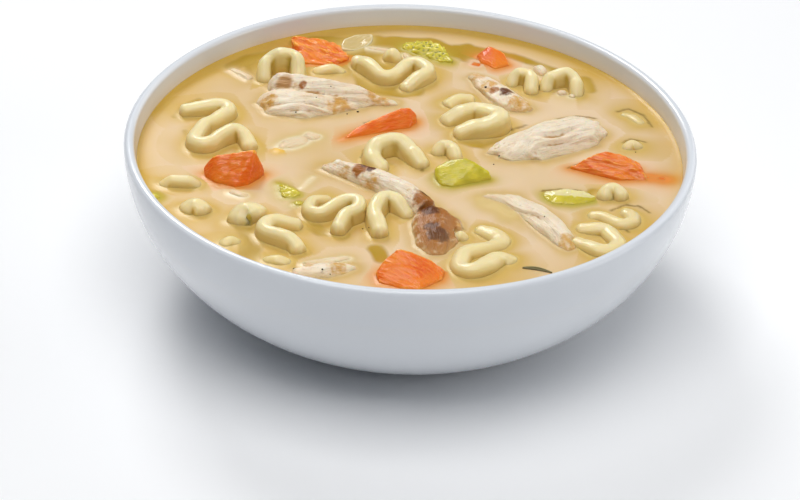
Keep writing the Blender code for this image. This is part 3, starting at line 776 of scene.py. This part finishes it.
def chickenMaterial():
    look = chickenLook
    material, tree, shader = startMaterial("cookedChicken", 0.42, subsurface=0.4, radius=(1.0, 0.5, 0.25),
                                           reach=1.1, coat=0.08, gloss=0.2)
    grain = readPaint(tree, "grain", "Vector")
    place = objectPlace(tree)
    patches = mottle(tree, 180.0, 2.0, place)
    meat = mixColours(tree, patches, look["meat"], look["pale"])
    # painted shade in the hollows and on the shade marks
    colour = stain(tree, meat, look["shade"], readPaint(tree, "hollowShade"), 700.0, 0.6, grain)
    for kind, scale in (("tan", 600.0), ("brown", 500.0), ("sear", 650.0)):
        colour = stain(tree, colour, look[kind], readPaint(tree, kind), scale, 1.6, place)
    colour = mixColours(tree, readPaint(tree, "soak"), colour, look["soaked"])
    finishMaterial(tree, shader, colour, 0.7, 900.0, 2600.0, 0.35, grain)
    return material


def searAndShadeMask(searsAndShade, kind, share, across, length):
    # the marks of one kind, where the kinds are tan, brown, sear and painted shade, each fading from inside
    # its reach to a little past it
    mask = np.zeros(len(share))
    half = np.ptp(across) / 2
    for spot, side, reach, sort in searsAndShade:
        if sort == kind:
            away = np.hypot((share - spot) * length, across - side * half)
            mask = np.maximum(mask, 1 - fade(away, reach * 0.45, reach * 1.25))
    return mask


def makeChicken():
    materials["chicken"] = chickenMaterial()
    for name, shape in chickens.items():
        mesh, points, edges = carveBase(name, 0.38, 14)
        normals = normalsOf(mesh)
        forward, across = spine(points)
        seed = shape["seed"]
        drift = latticeNoise(points * 0.12, seed + 60) * 2.0
        grain = np.column_stack((forward * 0.14, across + drift, points[:, 2] * 0.8))
        grooves = -np.abs(layeredNoise(grain * 0.33, 2, seed + 70)) * 2.6 + 0.7
        threads = layeredNoise(grain * 1.3, 2, seed + 80)
        length = np.ptp(forward)
        end = fade(np.abs(forward) / (length / 2), 0.72, 1.0)
        tears = layeredNoise(points * 0.55, 2, seed + 90) * shape["ragged"]
        lift = shape["fibre"] * (grooves * 1.9 + threads * 0.35) + tears * (0.35 + end)
        points = points + normals * lift[:, None]
        proud = edgeOf(points, normals, edges)
        share = (forward - forward.min()) / length
        # painted shade: the marks of the kind shade, joined to the hollows' painted shade
        shade = searAndShadeMask(shape["searsAndShade"], "shade", share, across, length)
        hollowShade = np.maximum(fade(-proud, 0.002, 0.045) * 0.85, shade * 0.8)
        paints = dict(grain=grain * mm, hollowShade=hollowShade, soak=soakOf(points) * 0.7)
        for kind, strength in (("tan", 0.62), ("brown", 0.9), ("sear", 0.9)):
            mask = searAndShadeMask(shape["searsAndShade"], kind, share, across, length)
            paints[kind] = mask * fade(normals[:, 2], -0.5, 0.1) * strength
        browned = shape.get("browned", 0) * fade(layeredNoise(points * 0.3, 2, seed + 95), 0.1, 0.6)
        paints["tan"] = np.maximum(paints["tan"], browned)
        finishCarving(points, mesh, name, shape, "chicken", paints)


makeChicken()
print("chicken made")


# onion

def spotOf(name, right, back):
    low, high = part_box(name)
    return np.array(((low.x + high.x) / 2 / mm + right, (low.y + high.y) / 2 / mm + back))


def boxy(value):
    return np.sign(value) * np.abs(value) ** 0.75


def lumpMesh(size, rows=18, sides=32):
    # a rounded box of the given size, as points round the origin and faces
    angles = np.linspace(0, 2 * math.pi, sides, endpoint=False)
    rises = np.linspace(-math.pi / 2, math.pi / 2, rows + 2)[1:-1]
    out = boxy(np.cos(rises))
    rings = np.stack([np.outer(out, boxy(np.cos(angles))), np.outer(out, boxy(np.sin(angles))),
                      np.repeat(boxy(np.sin(rises))[:, None], sides, axis=1)], axis=-1).reshape(-1, 3)
    return rings * np.array(size) / 2, tubeFaces(rows, sides)


def settle(points, head, spot, top):
    # turns a lump's points in plan, and sets them at a spot with their top that far above the broth
    turn = math.radians(head)
    turned = np.column_stack((points[:, 0] * math.cos(turn) - points[:, 1] * math.sin(turn),
                              points[:, 0] * math.sin(turn) + points[:, 1] * math.cos(turn), points[:, 2]))
    turned[:, :2] += spotOf(*spot)
    turned[:, 2] += level + top - turned[:, 2].max()
    return turned


onion = dict(long=12.8, wide=6.4, thick=1.5, point=2.4, cup=0.7, lean=0.16, head=46,
             spot=("onion", -0.5, -0.5), top=1.5)
onionLook = dict(leaf=(0.66, 0.50, 0.22), rim=(0.80, 0.67, 0.40))


def makeOnion():
    look = onionLook
    material, tree, shader = startMaterial("softOnion", 0.16, subsurface=0.5, radius=(1.0, 0.9, 0.6),
                                           reach=2.0, coat=0.5)
    place = objectPlace(tree)
    rim = readPaint(tree, "rim")
    colour = stain(tree, look["leaf"], look["rim"], rim, 300.0, 0.1, place)
    finishMaterial(tree, shader, colour, 0.3, 500.0, 1500.0, 0.2, place)
    shape = onion
    points, faces = lumpMesh((shape["long"], shape["wide"], shape["thick"]), 26, 48)
    share = points[:, 0] / shape["long"] * 2
    points[:, 1] *= np.clip(1 - np.abs(share) ** shape["point"], 0.05, 1) ** 0.6
    away = np.clip(np.hypot(share, points[:, 1] / shape["wide"] * 2), 0, 1)
    points[:, 2] += shape["cup"] * away ** 2 + 0.25 * latticeNoise(points * 0.35, 150)
    points[:, 2] += points[:, 1] * shape["lean"] + 0.05 * np.sin(points[:, 1] * 5.0)
    turned = settle(points, shape["head"], shape["spot"], shape["top"])
    piece = makePiece("onion_leaf", turned, faces, material, ["onion"])
    paint(piece, "rim", fade(away, 0.72, 0.98))
    shownSolids.append(("onion", turned, faces))


makeOnion()
print("onion made")


# bits sunk in the broth, seasoning and a herb

sunkBits = {  # spot: (piece, right, back) from its middle; size: long, wide, thick; top: above the broth;
    # kind: whose material, chicken if not given; tint: what shows through the broth, pale if not given
    "pale_lump": dict(spot=("noodle_01", 21.5, -6), size=(12, 7, 5), top=0.75, head=35),
    "pale_corner": dict(spot=("noodle_01", 26.5, -2), size=(6, 4.5, 4), top=0.8, head=-30),
    "white_bit": dict(spot=("carrot_4", 2, -7.5), size=(6, 2.8, 3), top=0.8, head=-25),
    "green_crumb": dict(spot=("celery_4", 3, -6.5), size=(2.2, 1.7, 1.6), top=0.6, head=10, kind="celery",
                        tint="celery"),
    "green_skin": dict(spot=("noodle_18", -6.3, -7), size=(3.2, 2.4, 2.4), top=0.9, head=-60, kind="celery",
                       tint="celery"),
    "white_crumb": dict(spot=("noodle_07", 0, -3), size=(2.6, 2.0, 2.0), top=1.1, head=20),
    "white_crumb_2": dict(spot=("noodle_07", 3, -4.5), size=(2.0, 1.6, 1.8), top=0.8, head=-30),
    "white_wedge": dict(spot=("noodle_06", 5.5, 9), size=(5.5, 3.4, 4), top=2.0, head=-60),
    "back_shred": dict(spot=("noodle_05", -4.2, 5.5), size=(9, 1.6, 2), top=0.6, head=-12),
    "back_shred_2": dict(spot=("celery_1", -6, -3), size=(5, 1.5, 2), top=0.9, head=-65),
    "sunk_breast": dict(spot=("chicken_7", -7.5, 5.5), size=(23, 9.5, 5), top=0.15, head=-42,
                        tint="breast"),
    "sunk_carrot": dict(spot=("carrot_5", 13, -2), size=(9, 4, 3.4), top=0.35, head=-8, kind="carrot",
                        tint="carrot"),
    "sunk_carrot_2": dict(spot=("carrot_2", -5, -2), size=(6, 5, 3.4), top=0.35, head=-20, kind="carrot",
                          tint="paleCarrot"),
    "front_shred": dict(spot=("chicken_8", 0, 4.5), size=(15, 2.6, 2.4), top=0.8, head=18),
    "fibre": dict(spot=("carrot_4", 20.5, 0), size=(7, 0.9, 1.0), top=0.3, head=64),
    "egg_dot": dict(spot=("noodle_01", 18.0, -9.5), size=(2.6, 2.6, 1.8), top=-0.05, head=0, kind="noodle",
                    tint="yellow"),
}
pepper = dict(colour=(0.035, 0.018, 0.010), slim=0.75, thick=0.35, uneven=0.3)
specks = [  # (piece, right, back, across): pepper on the meat and in the broth
    ("chicken_1", -8.6, -9, 0.55), ("chicken_1", 9, -5, 0.7), ("chicken_1", 1, 1, 0.4),
    ("chicken_1", 6, -6.5, 0.4), ("chicken_1", -3, -4, 0.4), ("chicken_3", -4.2, 0.4, 0.9),
    ("chicken_8", -8, 0.5, 0.9), ("chicken_8", -0.6, -2.4, 0.5), ("chicken_8", 1.5, -2.8, 0.4),
    ("noodle_13", -5.6, -6.5, 0.4), ("noodle_25", 1, -3, 0.4), ("chicken_4", -14, -10, 0.6),
    ("celery_2", 8.5, 9, 0.5), ("noodle_12", 8, -6.4, 0.4), ("chicken_7", 4, -1.5, 0.4),
]


herb = dict(colour=(0.13, 0.105, 0.022), start=("noodle_20", 10.2, -4.6), end=("noodle_20", 18, -6.6),
            half=0.75, bow=0.8, top=0.15, thick=0.28, rings=40, sides=8)


def makeTree(solids):
    points, faces, kinds = [], [], []
    for kind, corners, cornerFaces in solids:
        first = sum(len(part) for part in points)
        points.append(corners)
        faces += [tuple(first + corner for corner in face) for face in cornerFaces]
        kinds += [kind] * len(cornerFaces)
    return BVHTree.FromPolygons(np.vstack(points).tolist(), faces), kinds


def makeSunkBits():
    for index, (name, shape) in enumerate(sunkBits.items()):
        points, faces = lumpMesh(shape["size"])
        grain = points * (0.2, 1, 1)
        small = min(shape["size"])
        points *= 1 + 0.22 * layeredNoise(points * 1.4 / small + index * 9, 2, 300)[:, None]
        turned = settle(points, shape["head"], shape["spot"], shape["top"])
        piece = makePiece(name, turned, faces, materials[shape.get("kind", "chicken")])
        paint(piece, "grain", grain * mm)
        paint(piece, "soak", soakOf(turned) * 0.8)
        # the egg dot takes the painted fold shade's colour all over, as its own deeper yellow
        if name == "egg_dot":
            paint(piece, "fold", np.ones(len(turned)))
        shownSolids.append((shape.get("tint", "pale"), turned, faces))


def makePepper():
    tree, _ = makeTree(shownSolids)
    material = plainMaterial("pepper", pepper["colour"], 0.9, gloss=0.05)
    points, faces = [], []
    for index, (name, right, back, across) in enumerate(specks):
        x, y = spotOf(name, right, back)
        below = tree.ray_cast(Vector((x, y, level + 30)), Vector((0, 0, -1)), 60.0)
        top = max(level + 0.1, below[0].z if below[0] is not None else level)
        lump, lumpFaces = lumpMesh((across, across * pepper["slim"], pepper["thick"]), 5, 8)
        swell = 1 + pepper["uneven"] * latticeNoise(lump * 2 + index * 5, 310)
        lump = lump * swell[:, None] + (x, y, top)
        faces += [tuple(len(points) + corner for corner in face) for face in lumpFaces]
        points += lump.tolist()
    makePiece("pepper_specks", points, faces, material)


def makeHerb():
    shape = herb
    material = plainMaterial("herb", shape["colour"], 0.35, coat=0.3)
    leaf = []
    start, end = spotOf(*shape["start"]), spotOf(*shape["end"])
    for part in np.linspace(0, 1, shape["rings"]):
        x, y = start + (end - start) * part + np.array((0, shape["bow"] * math.sin(math.pi * part)))
        half = shape["half"] * math.sin(math.pi * (0.08 + 0.9 * part)) ** 0.8
        for angle in np.linspace(0, 2 * math.pi, shape["sides"], endpoint=False):
            out = half * math.cos(angle)
            leaf.append((x + 0.2 * out, y + out, level + shape["top"] + shape["thick"] * math.sin(angle)))
    makePiece("herb_sliver", leaf, tubeFaces(shape["rings"], shape["sides"]), material)


makeSunkBits()
makePepper()
makeHerb()
print("small bits made")


# broth

brothShape = dict(cells=308, reachIntoWall=0.35, wallRise=0.55, wallReach=1.0, pieceRise=0.24,
                  pieceReach=0.8, veil=dict(noodle=1.7, carrot=2.1, celery=1.6, other=1.1),
                  gold=dict(pieces=1.1, reach=1.4, noodleReach=3.4, wall=1.05, wallReach=7.0,
                            patches=0.45, left=0.22, back=0.5, backReach=4.0))
# pool colours the clearer pools and the painted contact shade round the pieces; line colours the painted
# meniscus shade and the pools' faint rims
brothLook = dict(cream=(0.795, 0.612, 0.420), gold=(0.600, 0.370, 0.065), poolAndContactShade=(0.45, 0.27, 0.012),
                 line=(0.22, 0.13, 0.02))
underTints = {"noodle": (0.70, 0.50, 0.17), "carrot": (0.80, 0.27, 0.06), "celery": (0.50, 0.42, 0.06),
              "chicken": (0.72, 0.52, 0.26), "onion": (0.68, 0.52, 0.22), "pale": (0.86, 0.72, 0.46),
              "breast": (0.74, 0.56, 0.25), "paleCarrot": (0.86, 0.55, 0.36), "yellow": (0.86, 0.50, 0.04)}
pools = [  # clearer broth: points (piece, right, back) measured from a piece's middle, and the half width
    dict(line=[("chicken_2", -3, 5), ("noodle_02", -10, 9), ("carrot_1", -17, 0), ("carrot_1", -6, 7)],
         half=2.2),
    dict(line=[("carrot_1", -6, 8), ("carrot_1", 8, 8), ("onion", 6, 1), ("celery_1", 0, 6),
               ("celery_1", 12, 1)], half=4.4),
    dict(line=[("celery_1", 8, 5), ("carrot_2", -4, 7), ("carrot_2", 6, 4), ("noodle_07", 0, 10)],
         half=1.8),
    dict(line=[("noodle_02", -5, 3), ("noodle_05", 0, 4), ("noodle_04", -8, 6)], half=6.0),
    dict(line=[("noodle_04", -10, 5), ("noodle_04", -8, -3), ("noodle_04", -1, -7),
               ("noodle_04", 4.5, -7.5)], half=4.2),
    dict(line=[("noodle_07", 7, 6), ("noodle_07", 8.5, 0)], half=1.9),
    dict(line=[("noodle_09", -4, -8), ("noodle_09", 3, -11), ("noodle_09", 7, -8)], half=1.5),
    dict(line=[("noodle_01", -13, 7), ("noodle_01", -11, 13), ("noodle_01", -7, 17)], half=0.9),
    dict(line=[("noodle_01", -9.5, -1), ("noodle_01", -8, -6)], half=0.7),
    dict(line=[("noodle_12", -8, -3), ("noodle_12", -3, -8.5), ("noodle_12", 2, -9)], half=2.4),
    dict(line=[("carrot_6", -10, 14), ("carrot_6", -8, 9)], half=2.2),
    dict(line=[("celery_3", 6, 3), ("noodle_23", -5, 2)], half=1.6),
    dict(line=[("noodle_16", 4, 8), ("noodle_16", 6, 1), ("noodle_19", -7, 0)], half=2.6),
    dict(line=[("noodle_14", 6, -4), ("noodle_14", 7.5, -7)], half=0.9),
]
# painted shade: thin dark meniscus lines where the broth climbs a piece
meniscusShadeLines = [  # thin dark outlines where the broth climbs a piece, measured the same way
    [("noodle_09", 8.2, 8), ("noodle_09", 8.8, 4)],
    [("noodle_11", -9, 5.5), ("noodle_11", -9.6, 1)],
    [("noodle_11", 4.5, 6.5), ("noodle_11", 7, 1), ("noodle_11", 7.4, -5)],
    [("noodle_17", 1.5, 4), ("noodle_17", 3.4, -1)],
    [("noodle_24", -4.5, 4), ("noodle_24", -1, 5.8), ("noodle_24", 2.8, 2.5), ("noodle_24", 5, -4)],
    [("noodle_25", -2.5, 2), ("noodle_25", 0, 4.5), ("noodle_25", 4, 3)],
    [("noodle_21", -1, 4.5), ("noodle_21", 3, 7.5), ("noodle_21", 7, 7), ("noodle_21", 9.5, 4)],
    [("noodle_21", 1.8, -3), ("noodle_21", 3.4, -6.5)],
    [("chicken_4", -10.5, 5.5), ("chicken_4", -6, 9)],
    [("chicken_4", 3, 13), ("chicken_4", 9, 15), ("chicken_4", 14, 14)],
    [("chicken_7", 4, -4), ("chicken_7", 6.5, -8)],
    [("celery_3", -7.5, 4), ("celery_3", -2.5, 5.5), ("celery_3", 3, 5)],
    [("chicken_6", 2, 12), ("chicken_6", 5, 9), ("chicken_6", 6.8, 4)],
    [("noodle_20", 3.5, 11.5), ("noodle_20", 5.8, 6)],
    [("carrot_3", -4, 4), ("carrot_3", 2, 6.5), ("carrot_3", 7, 8)],
    [("carrot_5", -11, 2), ("carrot_5", -6, 6), ("carrot_5", 0, 8)],
]


def discGrid(radius, cells):
    # a square grid pressed into a disc, so that its edge is a clean circle
    line = np.linspace(-1, 1, cells + 1)
    a, b = (part.ravel() for part in np.meshgrid(line, line, indexing="ij"))
    wide = np.abs(a) > np.abs(b)
    safeA, safeB = np.where(a == 0, 1, a), np.where(b == 0, 1, b)
    away = np.where(wide, a, b)
    angle = np.where(wide, math.pi / 4 * b / safeA, math.pi / 2 - math.pi / 4 * a / safeB)
    points = np.column_stack((away * np.cos(angle), away * np.sin(angle))) * radius
    index = np.arange((cells + 1) ** 2).reshape(cells + 1, cells + 1)
    faces = np.stack((index[:-1, :-1], index[1:, :-1], index[1:, 1:], index[:-1, 1:]), -1).reshape(-1, 4)
    border = np.concatenate((index[:-1, 0], index[-1, :-1], index[:0:-1, -1], index[0, :0:-1]))
    return points, faces, border


def distanceToLine(points, corners):
    best = np.full(len(points), 1e9)
    for first, second in zip(corners, corners[1:]):
        first, second = np.array(first), np.array(second)
        run = second - first
        share = np.clip((points - first) @ run / (run @ run), 0, 1)
        best = np.minimum(best, np.linalg.norm(points - first - share[:, None] * run, axis=1))
    return best


def brothMaterial():
    look = brothLook
    material, tree, shader = startMaterial("cloudyBroth", 0.27, subsurface=0.35, radius=(1.0, 0.7, 0.3),
                                           reach=2.5, gloss=0.3)
    place = objectPlace(tree)
    cloud = mottle(tree, 38.0, 1.6, place)
    cream = mixColours(tree, cloud, look["cream"], tinted(look["cream"], 0.96, 0.93, 0.80))
    gilded = mixColours(tree, readPaint(tree, "gold"), cream, look["gold"])
    # clearer pools, and painted contact shade round the pieces
    pooled = mixColours(tree, readPaint(tree, "poolAndContactShade"), gilded, look["poolAndContactShade"])
    veiled = mixColours(tree, readPaint(tree, "veil"), pooled, readPaint(tree, "under", "Color"))
    # painted meniscus shade lines, and the pools' faint rims
    lined = mixColours(tree, readPaint(tree, "line"), veiled, look["line"])
    finishMaterial(tree, shader, lined, 0.18, 60.0, 260.0, 0.15, place)
    return material


def lookUnder(flat):
    # for each point of the surface: the nearest piece's tint, distance and kind, and whether it is inside one
    tree, kinds = makeTree(shownSolids)
    tints = np.array([underTints[kind] for kind in kinds])
    count = len(flat)
    under, near, inside = np.full((count, 3), 0.5), np.full(count, 9.0), np.zeros(count, bool)
    kindHere = np.full(count, "none", "U8")
    for index, (x, y) in enumerate(flat.tolist()):
        start = Vector((x, y, level))
        hit = tree.find_nearest(start, 8.0)
        if hit[0] is None:
            continue
        near[index] = hit[3]
        under[index] = tints[hit[2]]
        kindHere[index] = kinds[hit[2]]
        up = tree.ray_cast(start, Vector((0, 0, 1)), 20.0)
        inside[index] = up[0] is not None and up[1].z > 0
    print("broth looked through")
    return under, near, inside, kindHere


def poolAndLine(flat, solid):
    # the clearer pools with their faint rims, and the thin dark outlines of painted meniscus shade
    poolAndContactShade, line = np.zeros(len(flat)), np.zeros(len(flat))
    for patch in pools:
        half = patch["half"] * (1 + 0.4 * layeredNoise(solid * 0.18, 2, 220))
        edge = distanceToLine(flat, [spotOf(*spot) for spot in patch["line"]]) - half
        poolAndContactShade = np.maximum(poolAndContactShade, 1 - fade(edge, -0.8, 0.6))
        line = np.maximum(line, 0.12 * np.exp(-(edge / 0.34) ** 2) * (poolAndContactShade < 0.98))
    drift = 0.3 * np.column_stack((latticeNoise(solid, 240), latticeNoise(solid, 241)))
    # painted shade: thin dark meniscus lines hugging the pieces
    for path in meniscusShadeLines:
        edge = distanceToLine(flat + drift, [spotOf(*spot) for spot in path])
        line = np.maximum(line, 0.85 * np.exp(-(edge / 0.42) ** 2))
    return poolAndContactShade, line


def closeBelow(surface, faces, border):
    # carries the surface's border down just inside the bowl's wall, and closes it at the bottom
    angles = np.arctan2(surface[border][:, 1], surface[border][:, 0])
    rings = []
    for z in np.linspace(level - 0.4, 6.0, 8):
        ring = innerRadius(z) + 0.3 if z > 20 else innerRadius(z) - 0.2
        rings.append(np.column_stack((np.cos(angles) * ring, np.sin(angles) * ring,
                                      np.full(len(border), z))))
    points = np.vstack([surface] + rings + [[(0, 0, 5.5)]])
    faces = faces.tolist()
    previous = border
    after = np.roll(np.arange(len(border)), -1)
    for ring in range(len(rings)):
        current = len(surface) + ring * len(border) + np.arange(len(border))
        faces += np.column_stack((previous, current, current[after], previous[after])).tolist()
        previous = current
    centre = len(points) - 1
    faces += [(centre, first, second) for second, first in zip(previous, np.roll(previous, -1))]
    return points, [tuple(int(corner) for corner in face)[::-1] for face in faces]


def makeBroth():
    shape = brothShape
    flat, faces, border = discGrid(innerRadius(level) + shape["reachIntoWall"], shape["cells"])
    under, near, inside, kindHere = lookUnder(flat)
    toWall = innerRadius(level) - np.hypot(flat[:, 0], flat[:, 1])
    fromWall = np.clip(toWall, 0, None)
    solid = np.column_stack((flat, np.zeros(len(flat))))
    height = level + shape["wallRise"] * np.exp(-fromWall / shape["wallReach"])
    height += shape["pieceRise"] * np.exp(-np.where(inside, 0, near) / shape["pieceReach"])
    height += 0.06 * layeredNoise(solid * 0.06, 2, 200)

    patchy = 1 + 0.6 * layeredNoise(solid * 0.12, 2, 230)
    veil = np.exp(-near / shape["veil"]["other"] / patchy)
    for kind in ("carrot", "celery"):
        veil = np.where(kindHere == kind, np.exp(-near / shape["veil"][kind]), veil)
    veil = np.where(kindHere == "noodle", np.exp(-near / shape["veil"]["noodle"] / patchy), veil)
    gilt = shape["gold"]
    spread = np.where(kindHere == "noodle", gilt["noodleReach"], gilt["reach"])
    # more gold near the pieces: partly the thinner cream round them, partly painted contact shade
    gold = gilt["pieces"] * np.exp(-near / spread / patchy)
    gold += gilt["wall"] * np.exp(-fromWall / gilt["wallReach"])
    gold += gilt["patches"] * layeredNoise(solid * 0.04, 2, 210) - gilt["left"] * flat[:, 0] / 75
    gold += gilt["back"] * fade(flat[:, 1], 20, 60) * np.exp(-fromWall / gilt["backReach"])
    poolAndContactShade, line = poolAndLine(flat, solid)
    height -= 0.03 * poolAndContactShade
    # painted contact shade: the pool colour darkening the broth round every piece
    poolAndContactShade = np.maximum(poolAndContactShade, 0.55 * np.exp(-near / 0.9 / patchy) * (near < 8))

    points, faces = closeBelow(np.column_stack((flat, height)), faces, border)
    piece = makePiece("cloudy_broth", points, faces, brothMaterial(), ["broth"])
    masks = dict(veil=(np.clip(veil * 0.95, 0, 0.95), 0.0), under=(under, 0.5),
                 gold=(np.clip(gold, 0, 1), 0.5), poolAndContactShade=(poolAndContactShade, 0.0), line=(line, 0.0))
    for title, (values, below) in masks.items():
        rest = np.full((len(points) - len(flat), *values.shape[1:]), below)
        paint(piece, title, np.concatenate((values, rest)))


makeBroth()
print("broth made")


# floor, lights and camera

studio = dict(floor=(0.93, 0.932, 0.935), floorSize=6.0,
              world=(0.80, 0.86, 0.97, 1.0), worldStrength=0.13,
              lights=dict(top=dict(place=(-0.04, -0.26, 0.95), size=0.8, power=6.9),
                          key=dict(place=(-0.28, 0.70, 0.75), size=0.36, power=4.6),
                          back=dict(place=(0.80, 0.75, 0.45), size=0.8, power=2.2),
                          side=dict(place=(1.0, -0.20, 0.35), size=0.5, power=1.8)))
cameraView = dict(elevation=32.356, distance=0.88663, lens=139.53, roll=1.983,
                  target=(-0.001902, 0.0, 0.01203))


def makeStudio():
    half = studio["floorSize"] / 2
    mesh = bpy.data.meshes.new("floor")
    mesh.from_pydata([(-half, -half, 0), (half, -half, 0), (half, half, 0), (-half, half, 0)], [],
                     [(0, 1, 2, 3)])
    mesh.materials.append(plainMaterial("paleFloor", studio["floor"], 0.8))
    floor = bpy.data.objects.new("floor", mesh)
    bpy.context.scene.collection.objects.link(floor)
    for name, shape in studio["lights"].items():
        light = bpy.data.lights.new(name, "AREA")
        light.size = shape["size"]
        light.energy = shape["power"]
        lamp = bpy.data.objects.new(name, light)
        lamp.location = shape["place"]
        lamp.rotation_euler = (-lamp.location).to_track_quat("-Z", "Y").to_euler()
        bpy.context.scene.collection.objects.link(lamp)
    world = bpy.data.worlds.new("studio")
    world.use_nodes = True
    background = world.node_tree.nodes["Background"]
    background.inputs["Color"].default_value = studio["world"]
    background.inputs["Strength"].default_value = studio["worldStrength"]
    bpy.context.scene.world = world
    bpy.context.scene.view_settings.view_transform = "Standard"


def makeCamera():
    view = cameraView
    up = math.radians(view["elevation"])
    target = Vector(view["target"])
    data = bpy.data.cameras.new("camera")
    data.lens = view["lens"]
    data.clip_start = 0.01
    camera = bpy.data.objects.new("camera", data)
    camera.location = target + Vector((0, -math.cos(up), math.sin(up))) * view["distance"]
    looking = (target - camera.location).to_track_quat("-Z", "Y").to_matrix()
    roll = math.radians(view["roll"])
    rolled = looking @ Vector((math.sin(-roll), math.cos(roll), 0))
    side = rolled.cross(-(target - camera.location).normalized())
    matrix = looking.copy()
    matrix.col[0] = side
    matrix.col[1] = rolled
    camera.rotation_euler = matrix.to_euler()
    bpy.context.scene.collection.objects.link(camera)
    bpy.context.scene.camera = camera


makeStudio()
makeCamera()
print("studio ready")
